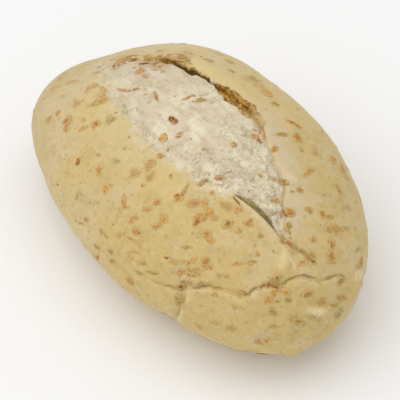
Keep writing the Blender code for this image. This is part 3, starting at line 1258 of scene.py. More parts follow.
    def rested(self, points: np.ndarray) -> np.ndarray:
        """Presses points flat on the base, rounded where the flank meets it.

        Args:
            points: The roll's points.

        Returns:
            The pressed points.
        """
        up = points[:, 2]
        blend = np.maximum(self.base_rounding - np.abs(up), 0) / self.base_rounding
        flat = points.copy()
        flat[:, 2] = np.maximum(up, 0) + blend**2 * self.base_rounding / 4
        return flat


@dataclass(frozen=True)
class Fit:
    """How the form's own points come to the roll's sizes in the frame."""

    foot: np.ndarray
    scale: np.ndarray

    @classmethod
    def of(cls, points: np.ndarray, size: Sequence[float]) -> "Fit":
        """Centres these points in X and Y, stands them on z = 0 and gives them a size.

        Args:
            points: Points of the plain form.
            size: Length, width and height that they come to.

        Returns:
            The fit.
        """
        low, high = points.min(axis=0), points.max(axis=0)
        foot = np.array([(low[0] + high[0]) / 2, (low[1] + high[1]) / 2, low[2]])
        return cls(foot, np.array(size, float) / (high - low))

    def place(self, points: np.ndarray) -> np.ndarray:
        """The points in the frame, still in millimetres."""
        return (points - self.foot) * self.scale


# --- The roll -----------------------------------------------------------------------------------


def add_object(name: str, data: Any) -> Any:
    """Puts a new object with this data into the scene.

    Args:
        name: The object's name.
        data: Its mesh, light or camera.

    Returns:
        The object.
    """
    obj = bpy.data.objects.new(name, data)
    bpy.context.scene.collection.objects.link(obj)
    return obj


def new_object(name: str, bm: bmesh.types.BMesh, *materials: bpy.types.Material) -> Any:
    """Turns a bmesh in metres into an object at the origin.

    Args:
        name: The object's name.
        bm: The mesh, which is freed.
        materials: Its materials.

    Returns:
        The object.
    """
    mesh = bpy.data.meshes.new(name)
    bm.to_mesh(mesh)
    bm.free()
    for material in materials:
        mesh.materials.append(material)
    return add_object(name, mesh)


def dress(piece: Any, slot: Slot) -> None:
    """Attaches a finished piece to its body, hides the solid that it replaces and logs its faces and
    material slot.

    Args:
        piece: The piece's object.
        slot: Its material slot in the record.
    """
    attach(piece, BODY)
    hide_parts(NODE)
    log.info("%s: %d faces in %s", piece.name, len(piece.data.polygons), slot.value)


@dataclass
class Loaf:
    """The roll itself: skin, slash and torn crumb as one closed mesh."""

    form: RollForm
    finish: CrustFinish
    rings: int = 350
    loops: int = 280
    skin_waves: Rows = ((6.0, 0.10), (2.4, 0.04))
    wrinkle_size: tuple[float, float, float] = (13.0, 2.2, 2.2)
    wrinkle_height: float = 0.08
    crumb_waves: Rows = ((2.4, 0.22), (1.1, 0.14))
    grain_waves: Rows = ((1.2, 0.24), (0.7, 0.12))
    sheet_size: tuple[float, float, float] = (9.0, 2.4, 2.4)
    sheet_height: float = 0.3
    wall_waves: Rows = ((1.9, 0.25), (0.9, 0.14))
    pores: int = 170
    pore_radii: tuple[float, float] = (0.35, 0.8)
    pore_depths: tuple[float, float] = (0.25, 0.6)
    masks: dict[str, np.ndarray] = field(default_factory=dict)
    torn: dict[str, np.ndarray] = field(default_factory=dict)
    fit: Fit | None = None
    tree: BVHTree | None = None
    mesh: bpy.types.Mesh | None = None

    def build(self) -> bpy.types.Object:
        """Makes the roll's mesh.

        Returns:
            The object; its masks are worked out here and stored as attributes by write_masks.
        """
        bm = bmesh.new()
        bmesh.ops.create_uvsphere(bm, u_segments=self.loops, v_segments=self.rings, radius=1)
        sphere = np.array([vert.co for vert in bm.verts])
        loop = (np.arctan2(sphere[:, 1], sphere[:, 0]) / (2 * math.pi)) % 1
        relief = self.form.relief(sphere[:, 2], loop)
        size = (self.form.length, self.form.width, self.form.height)
        self.fit = Fit.of(self.form.rested(relief.points), size)
        for vert, point in zip(bm.verts, relief.points):
            vert.co = point
        bm.normal_update()
        normals = np.array([vert.normal for vert in bm.verts])
        self.mask(relief)
        points = relief.points + normals * self.fine_relief(relief)[:, None]
        points = self.fit.place(self.form.rested(points)) * MM
        for vert, point in zip(bm.verts, points):
            vert.co = point
        loaf = new_object("baguette_crust", bm, self.finish.make())
        loaf.data.shade_smooth()
        self.mesh = loaf.data
        self.tree = BVHTree.FromObject(loaf, bpy.context.evaluated_depsgraph_get())
        return loaf

    def mask(self, relief: Relief) -> None:
        """Works out the distances and shares that tell skin, slash, crumb and folds apart.

        Args:
            relief: The plain roll at its vertices.
        """
        points, place = relief.points, relief.place
        far_in = np.where(relief.from_far > 0, relief.from_far / relief.narrow, relief.from_far)
        near_in = np.where(relief.from_near > 0, relief.from_near / relief.narrow, relief.from_near)
        far = read_curve(self.form.far_strength, place)[:, 0]
        lip = read_curve(self.form.near_strength, place)[:, 0]
        opened = rise(1.5, 5, relief.from_far + relief.from_near)
        opened *= rise(-48, -45, place) * rise(-40, -37.5, -place)
        crumb = opened * rise(1.2, 2.6, far_in) * rise(-0.8, 1.6, near_in)
        wall = opened * rise(-0.5, 0.3, far_in) * rise(-2.6, -1.4, -far_in) * rise(0.3, 0.45, far)
        # The far lip's crest, which takes a painted highlight
        painted_crest_highlight = rise(-6, -3, far_in) * rise(0.2, 1.2, -far_in) * (far_in < 0)
        tip = rise(-2.2, -0.6, near_in) * rise(-0.6, 0.2, -near_in) * lip
        edge = rise(-3.5, -1, -near_in) * rise(-1, 0, near_in)
        patch = rise(0.0, 0.35, noise_over(points, 4.5, 71))
        grain = np.clip(0.8 * patch + 0.7 * edge + rise(6, 11, place), 0, 1)
        band = rise(-42, -38, place) * rise(22, 26, -place)
        self.torn = {"crumb": crumb, "wall": wall, "grain": grain * crumb}
        self.masks = {
            "from_far": far_in,
            "from_near": near_in,
            "far": far,
            "lip": lip,
            "opened": opened,
            "grain": grain,
            "painted_crest_highlight": painted_crest_highlight * rise(0.3, 0.7, far),
            "flour": 0.55 * tip,
            "torn": band * rise(-4.6, -3.2, far_in) * rise(-1.2, -0.4, -far_in),
            **relief.lines,
        }

    def fine_relief(self, relief: Relief) -> np.ndarray:
        """Works out what crust, crumb and wall add to the plain roll.

        Args:
            relief: The plain roll at its vertices.

        Returns:
            The height.
        """
        points = relief.points
        crumb, wall, grain = self.torn["crumb"], self.torn["wall"], self.torn["grain"]
        height = np.zeros(len(points))
        for layer, (size, top) in enumerate(self.skin_waves):
            height += top * (1 - crumb) * noise_over(points, size, 41 + layer)
        flank = rise(0.2, 0.7, -relief.points[:, 1] / self.form.half_width)
        wrinkle = 1 - 2 * np.abs(noise_over(points, np.array(self.wrinkle_size), 47))
        height += self.wrinkle_height * flank * (1 - crumb) * wrinkle
        torn = np.flatnonzero(crumb + wall > 0.01)
        for share, waves, start in (
            (crumb, self.crumb_waves, 53),
            (grain, self.grain_waves, 57),
            (wall, self.wall_waves, 61),
        ):
            for layer, (size, top) in enumerate(waves):
                height[torn] += top * share[torn] * noise_over(points[torn], size, start + layer)
        sheet = 1 - 2.5 * np.abs(noise_over(points[torn], np.array(self.sheet_size), 59))
        height[torn] += self.sheet_height * crumb[torn] * sheet
        height[torn] += self.pore_relief(points[torn], crumb[torn])
        return height

    def pore_relief(self, points: np.ndarray, crumb: np.ndarray) -> np.ndarray:
        """Sinks the pores that lie open in the crumb.

        Args:
            points: The roll's points.
            crumb: How far each is crumb.

        Returns:
            The height that they take away, below 0.
        """
        rng = random.Random(SEED)
        height = np.zeros(len(points))
        inside = np.flatnonzero(crumb > 0.7)
        for _ in range(self.pores):
            centre = points[inside[rng.randrange(len(inside))]]
            radius = rng.uniform(*self.pore_radii)
            away = ((points - centre) ** 2).sum(axis=-1) / radius**2
            height -= rng.uniform(*self.pore_depths) * np.exp(-away)
        return height * crumb

    def hit(self, place: float, degrees: float) -> tuple[Vector, Vector]:
        """Finds the finished roll along a line square to the body.

        Args:
            place: Place along X in millimetres.
            degrees: Angle round the roll.

        Returns:
            Point and normal in metres.
        """
        point, normal = self.form.on_body(place, degrees)
        start = Vector(self.fit.place(point + normal * 10)) * MM
        point, facing, _, _ = self.tree.ray_cast(start, Vector(-normal))
        return point, facing

    def shares_at(self, point: Vector) -> tuple[float, float]:
        """Tells what the roll is at a point of it.

        Args:
            point: The point, in metres.

        Returns:
            How far it is crumb, and how far crumb or torn skin.
        """
        face = self.tree.find_nearest(point)[2]
        vertex = self.mesh.polygons[face].vertices[0]
        crumb = float(self.torn["crumb"][vertex])
        return crumb, max(crumb, float(self.masks["torn"][vertex]))

    def stain(self, mesh: bpy.types.Mesh, name: str, chips: Sequence["Chip"], spread: float) -> None:
        """Adds the soft colour of chips that lie in or under the skin to a mask.

        Args:
            mesh: The roll's mesh.
            name: The mask.
            chips: The chips.
            spread: How many times wider than its chip a stain is.
        """
        points = np.empty(len(mesh.vertices) * 3)
        mesh.vertices.foreach_get("co", points)
        points = points.reshape(-1, 3) / MM
        ragged = 0.35 * noise_over(points, 0.9, 67)
        mask = self.masks.setdefault(name, np.zeros(len(points)))
        for chip in chips:
            away = points - np.array(chip.centre) / MM
            near = np.flatnonzero((away**2).sum(axis=-1) < (spread * chip.size[0]) ** 2)
            along = np.array(chip.along)
            aside = np.cross(np.array(chip.facing), along)
            first = away[near] @ along / (spread * chip.size[0] / 2)
            second = away[near] @ aside / (spread * chip.size[1] / 2)
            edge = np.sqrt(first**2 + second**2) + ragged[near]
            mask[near] = np.maximum(mask[near], chip.tone * rise(-1.5, -0.2, -edge))

    def write_masks(self, mesh: bpy.types.Mesh) -> None:
        """Stores the masks as the mesh's attributes.

        Args:
            mesh: The roll's mesh.
        """
        for name, mask in self.masks.items():
            attribute = mesh.attributes.new(name, "FLOAT", "POINT")
            attribute.data.foreach_set("value", mask.astype(np.float32))


# --- Camera -------------------------------------------------------------------------------------


@dataclass(frozen=True)
class PhotoCamera:
    """The photograph's camera, and the way from its pixels to the roll."""

    azimuth: float = 50.508
    elevation: float = 50.0
    distance: float = 0.55
    aim: tuple[float, float, float] = (-0.0005, -0.0016, 0.022)
    aim_pixel: tuple[float, float] = (199.0, 188.4)
    focal_pixels: float = 2083.0
    image_side: int = 400
    sensor: float = 36.0
    least_facing: float = 0.12
    steepest: float = 0.35
    ray_lift: float = 0.5

    @property
    def axes(self) -> tuple[Vector, Vector, Vector]:
        """Directions of the camera.

        Returns:
            Right, up and backward.
        """
        turn, tilt = math.radians(self.azimuth), math.radians(self.elevation)
        right = Vector((math.cos(turn), math.sin(turn), 0))
        level = Vector((math.sin(turn), -math.cos(turn), 0))
        back = level * math.cos(tilt) + Vector((0, 0, math.sin(tilt)))
        return right, back.cross(right), back

    @property
    def eye(self) -> Vector:
        """Where the camera stands."""
        return Vector(self.aim) + self.axes[2] * self.distance

    def build(self) -> None:
        """Makes the camera and gives it to the scene."""
        data = bpy.data.cameras.new("photo_camera")
        data.sensor_width = self.sensor
        data.lens = self.focal_pixels / self.image_side * self.sensor
        data.shift_x = 0.5 - self.aim_pixel[0] / self.image_side
        data.shift_y = self.aim_pixel[1] / self.image_side - 0.5
        data.clip_start, data.clip_end = 0.05, 20
        camera = add_object("photo_camera", data)
        turned = Matrix(self.axes).transposed().to_4x4()
        camera.matrix_world = Matrix.Translation(self.eye) @ turned
        bpy.context.scene.camera = camera

    def hit(self, tree: BVHTree, x: float, y: float) -> tuple[Vector | None, Vector | None]:
        """Finds the roll at a pixel.

        Args:
            tree: The roll's surface.
            x: Pixels across.
            y: Pixels down.

        Returns:
            Point and normal, or twice None beside the roll.
        """
        right, up, back = self.axes
        across = (x - self.aim_pixel[0]) / self.focal_pixels
        down = (y - self.aim_pixel[1]) / self.focal_pixels
        ray = right * across - up * down - back
        point, facing, _, _ = tree.ray_cast(self.eye, ray.normalized())
        return point, facing

    def sees(self, tree: BVHTree, point: Vector, facing: Vector) -> bool:
        """Tells whether a point of the roll shows in the photograph.

        Args:
            tree: The roll's surface.
            point: The point.
            facing: Its normal.

        Returns:
            True if it shows.
        """
        ray = self.eye - point
        if facing.dot(ray.normalized()) < self.least_facing:
            return False
        start = point + facing * self.ray_lift * MM
        return tree.ray_cast(start, ray.normalized())[0] is None

    def chip_at(self, tree: BVHTree, row: Sequence[float], thickness: float) -> "Chip | None":
        """The chip that looks as wide and turned as one in the photograph.

        Args:
            tree: The roll's surface.
            row: Pixel across and down, length and width in pixels, turn in degrees from the
                right, anticlockwise.
            thickness: The chip's thickness in millimetres.

        Returns:
            The chip, or None if the pixel misses the roll.
        """
        x, y, length, width, turn = row
        point, facing = self.hit(tree, x, y)
        if point is None:
            return None
        right, up, _ = self.axes
        ray = (point - self.eye).normalized()
        seen = right * math.cos(math.radians(turn)) + up * math.sin(math.radians(turn))
        slant = min(ray.dot(facing), -self.steepest)
        along = seen - ray * (seen.dot(facing) / slant)
        pixel = (point - self.eye).length / self.focal_pixels / MM
        longer = along.length
        size = (length * pixel * longer, width * pixel / (-slant * longer), thickness)
        return Chip(point, facing, along.normalized(), size)


# --- Chips: bran and crumbs ---------------------------------------------------------------------


@dataclass(frozen=True)
class Chip:
    """One small piece on the roll: its place in metres, its directions and its size.

    Its ground is 0 on skin and 1 on crumb, and where it is solid it doesn't melt at its rim.
    """

    centre: Vector
    facing: Vector
    along: Vector
    size: tuple[float, float, float]
    tone: float = 0.5
    ground: float = 0.0
    solid: float = 0.0


def square_to(facing: Vector, turn: float) -> Vector:
    """Turns a direction round a normal that it is square to.

    Args:
        facing: The normal.
        turn: The turn in radians.

    Returns:
        The direction.
    """
    first = facing.orthogonal().normalized()
    return first * math.cos(turn) + facing.cross(first) * math.sin(turn)


@dataclass
class ChipSet:
    """Chips of one kind, made by Geometry Nodes from one point each."""

    name: str
    finish: FlakeFinish
    slot: Slot
    relief: float = 0.9
    relief_size: float = 0.8
    flatness: float = 0.75
    facets: int = 2

    def tree(self) -> bpy.types.NodeTree:
        """Builds the Geometry Nodes: a facetted lens on each point, made uneven by noise.

        Returns:
            The node tree.
        """
        group = bpy.data.node_groups.new(self.name, "GeometryNodeTree")
        nodes = NodeTree(group)
        inputs = (
            ("Places", "NodeSocketGeometry"),
            ("Facets", "NodeSocketInt"),
            ("Relief", "NodeSocketFloat"),
            ("Relief size", "NodeSocketFloat"),
            ("Flatness", "NodeSocketFloat"),
            ("Finish", "NodeSocketMaterial"),
        )
        for name, kind in inputs:
            group.interface.new_socket(name, in_out="INPUT", socket_type=kind)
        group.interface.new_socket("Chips", in_out="OUTPUT", socket_type="NodeSocketGeometry")
        start = nodes.node("NodeGroupInput").outputs

        def named(name: str) -> Any:
            """A vector attribute of the points."""
            made = nodes.node(
                "GeometryNodeInputNamedAttribute", {"data_type": "FLOAT_VECTOR"}, {"Name": name}
            )
            return made.outputs["Attribute"]

        def vector(operation: str, *values: Any) -> bpy.types.Node:
            """A Vector Math node on these values."""
            return nodes.node(
                "ShaderNodeVectorMath", {"operation": operation}, dict(enumerate(values))
            )

        def number(operation: str, *values: Any) -> Any:
            """The result of a Math node on these values."""
            made = nodes.node("ShaderNodeMath", {"operation": operation}, dict(enumerate(values)))
            return made.outputs[0]

        at = nodes.node("GeometryNodeInputPosition").outputs[0]
        lens = nodes.node(
            "GeometryNodeMeshIcoSphere", None, {"Radius": 0.5, "Subdivisions": start["Facets"]}
        )
        level = vector("MULTIPLY", at, (2, 2, 0)).outputs[0]
        inside = number("SUBTRACT", 1.0, vector("LENGTH", level).outputs["Value"])
        marked = nodes.node(
            "GeometryNodeStoreNamedAttribute",
            {"data_type": "FLOAT", "domain": "POINT"},
            {"Geometry": lens.outputs["Mesh"], "Name": "inside", "Value": inside},
        )
        turn = nodes.node(
            "FunctionNodeAxesToRotation",
            {"primary_axis": "Z", "secondary_axis": "X"},
            {0: named("facing"), 1: named("along")},
        )
        placed = nodes.node(
            "GeometryNodeInstanceOnPoints",
            None,
            {
                "Points": start["Places"],
                "Instance": marked.outputs[0],
                "Rotation": turn.outputs[0],
                "Scale": named("size"),
            },
        )
        real = nodes.node("GeometryNodeRealizeInstances", None, {0: placed.outputs[0]})
        scale = number("DIVIDE", 1.0, start["Relief size"])
        waves = nodes.node(
            "ShaderNodeTexNoise", None, {"Vector": at, "Scale": scale, "Detail": 1.0}
        )
        centred = vector("SUBTRACT", waves.outputs["Color"], (0.5,) * 3).outputs[0]
        pushed = nodes.node(
            "ShaderNodeVectorMath",
            {"operation": "SCALE"},
            {0: centred, "Scale": start["Relief"]},
        )
        facing = named("facing")
        rising = vector("DOT_PRODUCT", pushed.outputs[0], facing).outputs["Value"]
        lifted = number("MULTIPLY", rising, start["Flatness"])
        outward = nodes.node(
            "ShaderNodeVectorMath", {"operation": "SCALE"}, {0: facing, "Scale": lifted}
        )
        offset = vector("SUBTRACT", pushed.outputs[0], outward.outputs[0]).outputs[0]
        uneven = nodes.node(
            "GeometryNodeSetPosition", None, {0: real.outputs[0], "Offset": offset}
        )
        smooth = nodes.node("GeometryNodeSetShadeSmooth", None, {0: uneven.outputs[0]})
        coated = nodes.node(
            "GeometryNodeSetMaterial", None, {0: smooth.outputs[0], "Material": start["Finish"]}
        )
        nodes.node("NodeGroupOutput", None, {0: coated.outputs[0]})
        return group

    def build(self, chips: Sequence[Chip]) -> bpy.types.Object:
        """Makes all the chips one mesh.

        Args:
            chips: Where the chips lie.

        Returns:
            The object.
        """
        mesh = bpy.data.meshes.new(self.name)
        mesh.from_pydata([chip.centre for chip in chips], [], [])
        vectors = {
            "facing": [chip.facing for chip in chips],
            "along": [chip.along for chip in chips],
            "size": [Vector(chip.size) * MM for chip in chips],
        }
        for name, values in vectors.items():
            attribute = mesh.attributes.new(name, "FLOAT_VECTOR", "POINT")
            attribute.data.foreach_set("vector", np.array(values, np.float32).ravel())
        for name in ("tone", "ground", "solid"):
            attribute = mesh.attributes.new(name, "FLOAT", "POINT")
            values = [getattr(chip, name) for chip in chips]
            attribute.data.foreach_set("value", np.array(values, np.float32))
        obj = add_object(self.name, mesh)
        modifier = obj.modifiers.new("Chips on points", "NODES")
        modifier.node_group = self.tree()
        values = {
            "Facets": self.facets,
            "Relief": self.relief * MM,
            "Relief size": self.relief_size * MM,
            "Flatness": self.flatness,
            "Finish": self.finish.make(),
        }
        for item in modifier.node_group.interface.items_tree:
            if item.in_out == "INPUT" and item.name in values:
                modifier[item.identifier] = values[item.name]
        graph = bpy.context.evaluated_depsgraph_get()
        finished = bpy.data.meshes.new_from_object(obj.evaluated_get(graph))
        obj.modifiers.clear()
        obj.data = finished
        dress(obj, self.slot)
        return obj


class Bran(Enum):
    """Kinds of bran flake by colour."""

    ORANGE = "bran_orange"
    RED = "bran_red"
    OCHRE = "bran_ochre"
    PINK = "bran_pink"


BRAN_FINISHES = {
    Bran.ORANGE: FlakeFinish(
        Bran.ORANGE.value, srgb(212, 161, 87), srgb(186, 130, 59), srgb(160, 105, 46)
    ),
    Bran.RED: FlakeFinish(
        Bran.RED.value, srgb(184, 124, 56), srgb(148, 95, 38), srgb(122, 79, 31)
    ),
    Bran.OCHRE: FlakeFinish(
        Bran.OCHRE.value, srgb(202, 163, 86), srgb(173, 135, 64), srgb(146, 114, 52)
    ),
    Bran.PINK: FlakeFinish(
        Bran.PINK.value, srgb(208, 158, 98), srgb(188, 134, 78), srgb(170, 114, 60)
    ),
}
GRANULE_FINISH = FlakeFinish(
    "crumb_granule", srgb(228, 216, 190), srgb(208, 190, 156), srgb(192, 170, 124), melt=0.02
)
SHRED_FINISH = FlakeFinish(
    "crumb_shred", srgb(232, 219, 190), srgb(218, 202, 168), srgb(200, 180, 138), melt=0.05
)

# Flakes as the photograph shows them: pixel across and down, length and width in pixels, and
# turn in degrees from the right, anticlockwise
SEEN_FLAKES: dict[Bran, Rows] = {
    Bran.ORANGE: (
        (139, 71.5, 7, 5.5, 10),
        (144, 75.5, 4.5, 3, -30),
        (255.5, 137, 7, 4, -25),
        (260.5, 133.5, 6, 4, -60),
        (156, 96, 10, 3.5, -65),
        (163.5, 138, 7, 6, 10),
        (160, 156, 6, 4.5, 20),
        (58, 113, 5, 3, 80),
        (67, 121, 7, 4.5, 70),
        (66, 128, 7, 4, 85),
        (83, 128.5, 7, 3, 25),
        (96, 124, 7, 4, 10),
        (83.5, 120, 3, 3, 0),
        (102, 101, 9, 5, 35),
        (99, 170, 7.5, 4, 70),
        (143, 185.5, 4, 3, 20),
        (106, 189, 7, 4.5, 80),
        (110, 185.5, 3.5, 3, 0),
        (124, 200, 11, 4, 85),
        (126, 207, 6, 3, 0),
        (133.5, 219.5, 9, 5, 15),
        (136, 231.5, 6, 6, 0),
        (86, 219.5, 4, 3.5, 0),
        (178, 198.5, 8, 5.5, 15),
        (184.5, 191, 11, 2.5, 58),
        (204.5, 203, 8, 5, 80),
        (199, 216, 9, 5.5, 20),
        (208, 212.5, 8, 6, 30),
        (214, 217.5, 6, 5, -30),
        (204, 219, 5, 4, 0),
        (163.5, 219, 7, 5.5, -50),
        (157.5, 226, 10, 3.5, 10),
        (207.5, 234, 7, 6, 0),
        (210, 240, 7, 5, -40),
        (191.5, 260.5, 10, 4, 35),
        (205.5, 261, 8, 5, 60),
        (212, 193, 4, 3.5, 0),
        (274, 201.5, 7, 6.5, 0),
        (290, 212.5, 7.5, 6, 0),
        (322, 214, 5, 5, 0),
        (313.5, 239.5, 4.5, 4.5, 0),
        (332, 245, 8, 4.5, 85),
        (331, 256, 7, 5, 70),
        (331.5, 261, 7, 4, 0),
        (300, 190, 5, 3.5, 0),
        (309, 172, 11, 4, 35),
        (333, 159.5, 7.5, 4.5, -50),
        (274, 150, 7, 4.5, 75),
        (267, 92.5, 8, 4.5, -15),
        (247, 224, 9, 5, -10),
        (250, 221, 5, 3, 40),
        (238, 209.5, 6.5, 5.5, 0),
        (243, 291.5, 9, 4, -15),
        (286, 292, 8, 5, -20),
        (281, 289.5, 6, 3, 20),
        (273, 293, 7, 5, 50),
        (268, 299, 8, 6, 40),
        (277.5, 301, 4, 3, 0),
        (265.5, 340.5, 6.5, 4.5, 20),
        (303.5, 262.5, 7, 4, 20),
        (289, 244, 8, 4, -35),
        (309.5, 257, 6, 5, -60),
        (297, 138, 8, 5, -25),
        (291, 122, 9, 3, -30),
        (297, 126, 7, 2.5, -35),
        (131, 281, 9, 5, -35),
        (171, 176, 3, 2.5, 0),
    ),
    Bran.RED: (
        (172, 119.5, 6, 4.5, -60),
        (175.5, 121.5, 5.5, 4.5, 20),
        (260, 141, 4, 1.6, -60),
        (277.5, 277.5, 5, 3.5, 60),
        (275.5, 287.5, 8, 3, -5),
        (269, 283.5, 5, 3, 30),
        (197, 222, 7, 5, 45),
        (282, 213, 6.5, 4, 70),
        (177.5, 195.5, 6, 2.5, 10),
        (236.5, 201, 9, 2, -60),
        (313, 261.5, 5, 3, -40),
        (181, 287, 6, 5, -30),
        (167, 258, 5, 2.5, -20),
        (78, 161.5, 6.5, 3, 65),
        (246, 293, 5, 3, -15),
        (262, 287, 7, 2, 15),
        (187, 60.5, 6, 3, -40),
    ),
    Bran.OCHRE: (
        (227.5, 224, 8, 5, 25),
        (238.5, 231, 5, 4, 0),
        (309, 210, 7, 4.5, -30),
        (288, 226.5, 7.5, 4, 80),
        (283.5, 182, 6, 4, 0),
        (281, 135, 9, 4.5, 0),
        (275, 104, 5, 4, -50),
        (214, 294.5, 4.5, 4, 0),
        (234, 307, 3.5, 3.5, 0),
        (272.5, 311.5, 6, 3.5, -40),
        (311.5, 255, 8, 5, -55),
        (335, 305, 7, 2.5, 0),
        (307.5, 294, 7.5, 4.5, 10),
        (180, 302.5, 6, 4, 0),
        (190.5, 274.5, 9, 4, -20),
        (153, 273, 9, 3, -15),
        (173, 261.5, 7, 4, -20),
        (260, 236, 4, 3.5, 0),
        (260.5, 175.5, 7, 2.5, -10),
        (233, 144.5, 5, 4.5, 0),
        (200, 100, 5, 3.5, 30),
        (330, 217, 6, 4, 0),
        (143, 263, 8, 3, -10),
        (97, 247, 6, 3, -35),
        (186, 247, 8, 2.5, -5),
        (208, 60, 6, 3.5, 10),
        (231, 71, 3.5, 3, 0),
        (126.5, 58, 9, 4, 10),
        (164, 59, 10, 5, -5),
        (150, 60, 8, 5, 0),
        (157, 62, 6, 3, 20),
        (182, 58.5, 8, 5, -20),
        (49, 119, 6, 3, 30),
        (251.5, 261.5, 9, 3.5, 20),
        (298.5, 321.5, 8, 4, -10),
        (340.5, 282, 7, 4.5, 45),
        (257.5, 254.5, 4, 3, 60),
        (112, 261, 4.5, 3.5, 0),
    ),
    Bran.PINK: (
        (193, 203.5, 11, 6.5, -5),
        (120.5, 63, 8, 2.5, 5),
        (123.5, 90, 11, 2.5, 0),
        (136, 89, 6, 2, 15),
        (157.5, 202, 6.5, 4.5, 20),
        (150, 163.5, 8, 5, 10),
        (217.5, 177, 6, 4, 20),
        (202.5, 183, 7, 3.5, 10),
        (188, 97.5, 12, 2, 25),
        (238, 263.5, 9, 3.5, 5),
        (209.5, 266.5, 6, 4, -30),
        (361, 262, 10, 3, 80),
        (97.5, 257, 4, 3, 60),
        (180, 134, 6, 3, 30),
        (147, 209.5, 7, 3, 10),
    ),
}


class Stain(Enum):
    """Masks of what shows blurred through the skin, of flour on it, and of some painted shadow."""

    TAN = "tan"
    OLIVE = "olive"
    FLOUR = "flour"


# Blurred spots under the skin and floury ones on it, in the same columns; a few tan and olive rows
# are painted shadow along the folds, beside the side crease and below the blister
SEEN_STAINS: dict[Stain, Rows] = {
    Stain.FLOUR: (
        (316, 311, 16, 7, 0),
        (359, 275, 8, 7, 0),
        (293, 262, 12, 5, -60),
        (255, 212, 12, 5, -40),
        (109, 72, 12, 8, 30),
        (107, 85, 12, 8, -20),
        (284.5, 214, 9, 2.2, 90),
        (284.5, 230, 9, 2.2, 90),
        (275, 171, 8, 4, 85),
        (291, 181, 8, 7, 80),
    ),
    Stain.TAN: (
        # Tan smear with painted shadow along the fold
        (188, 283, 8.5, 5, 5),
        (212, 284, 8.5, 4, 10),
        (88, 91, 8, 4, 60),
        (94, 86, 12, 4, 5),
        (103, 91, 9, 5, -60),
        (92, 105, 10, 3.5, 5),
        (99, 98, 8, 6, 30),
        (62, 76, 7, 5, 70),
        (71.5, 82, 8, 3, 5),
        (96.5, 73, 5, 3, 0),
        (77, 103, 8, 6, 0),
        (55, 87, 5, 4, 60),
        (150, 168, 10, 8, 80),
        (151, 176, 9, 7, 60),
        (135, 173, 7, 6, 0),
        (134.5, 241, 13, 3, -40),
        (119.5, 235.5, 6, 4, 0),
        (103, 233, 9, 4, -50),
        (133.5, 252, 9, 3.5, -10),
        (130.5, 258, 4, 3.5, 0),
        (182.5, 262.5, 7, 4, 0),
        (214.5, 323, 6, 4, 0),
        (199, 327.5, 6, 3.5, -60),
        (231, 328.5, 6, 4, 0),
        (274.5, 327, 6, 3, 0),
        (259, 342, 6, 4, 0),
        (341.5, 298, 8, 4.5, 0),
        (318.5, 300, 13, 9, 0),
        (333.5, 228.5, 13, 8, -10),
        (346, 228.5, 8, 3, 0),
        (339.5, 191, 10, 5, 90),
        (344, 173, 15, 4, -65),
        (346, 208.5, 6, 5, 0),
        (226, 206, 8, 6, -60),
        (250, 78, 9, 6, -20),
        (258, 83, 12, 6, -30),
        (316.5, 152.5, 8, 4.5, -70),
        (218, 53.5, 8, 3, -25),
        (160.5, 51, 6, 3, 0),
        (224.5, 275.5, 9, 4, -10),
        (192, 273, 24, 7, 5),
        (277, 279, 13, 9, 45),
        (268, 285, 9, 4, 10),
        (279, 276, 6, 5, 80),
        (289, 245.5, 14, 5, -25),
        (301, 251, 10, 4, -25),
        (264, 287, 10, 4, 15),
        (279, 287, 9, 4, 20),
        (152, 59, 18, 9, 0),
        (176, 59, 18, 8, -5),
        (132, 60, 14, 5, 10),
    ),
    Stain.OLIVE: (
        (115.5, 161.5, 6, 4, 0),
        (126, 148.5, 5, 3, -20),
        (149.5, 147.5, 4, 3, 0),
        (165, 152, 4, 4, 0),
        (98, 155, 4, 3, 0),
        (193, 165.5, 6, 4, 80),
        (154.5, 87.5, 5, 3, 0),
        (110, 120, 7, 6, 60),
        (126, 111, 8, 5, 80),
        (142.5, 124.5, 5, 2, 85),
        (191, 108, 6, 3.5, -30),
        (212, 103, 4, 3, 10),
        (247, 137, 7, 2, 0),
        (197, 175, 7, 3.5, -70),
        (208, 182, 8, 3, -20),
        (222, 180, 7, 4, 30),
        (208, 152, 8, 4, -70),
        (252, 151, 6, 3, 80),
        # Darker crumb by the far lip: specks with painted shade
        (245, 131, 8, 4, -35),
        (258.5, 124, 7, 2.6, -50),
        (261, 159, 8, 3.5, -60),
        (267.5, 167, 8, 3, 88),
        (269.5, 178, 8, 3, 80),
        (273, 189, 7, 3, -65),
        (278, 200, 7, 3, -65),
        (271, 212, 8, 4, -50),
        (188, 130, 7, 4, -60),
        # Painted shadow along the fold
        (201, 284.5, 8.5, 4, 0),
        (78.5, 196, 5, 5, 0),
        (96, 203.5, 4, 4, 0),
        (110.5, 251.5, 5, 3, -30),
        (140, 273, 6, 3, -25),
        (288.5, 300, 5, 4, 0),
        (338, 315, 9, 6, 40),
        (298.5, 321.5, 12, 7, -10),
        (230.5, 62, 4, 4, 0),
        (358.5, 249.5, 6, 3, 20),
        (362.5, 200.5, 8, 4, 80),
        (323.5, 133, 6, 3, -50),
        # These two are painted shadow: beside the side crease, and below the blister
        (181, 300, 9, 14, 0),
        (314, 319, 12, 5, 0),
    ),
}

# Torn shreds of crumb across and beside the slash, in the same columns
SEEN_SHREDS: Rows = (
    (212, 80, 4.5, 2.6, -80),
    (212.5, 84, 4.5, 2.6, -80),
    (213, 88, 4.5, 2.6, -80),
    (218.5, 182.5, 8, 3.5, -10),
    (204, 94, 7, 3, 10),
    (240, 133, 8, 3, -20),
    (228, 171, 9, 3, 15),
    (246, 178, 8, 3, -35),
    (257, 186, 7, 3, -15),
)


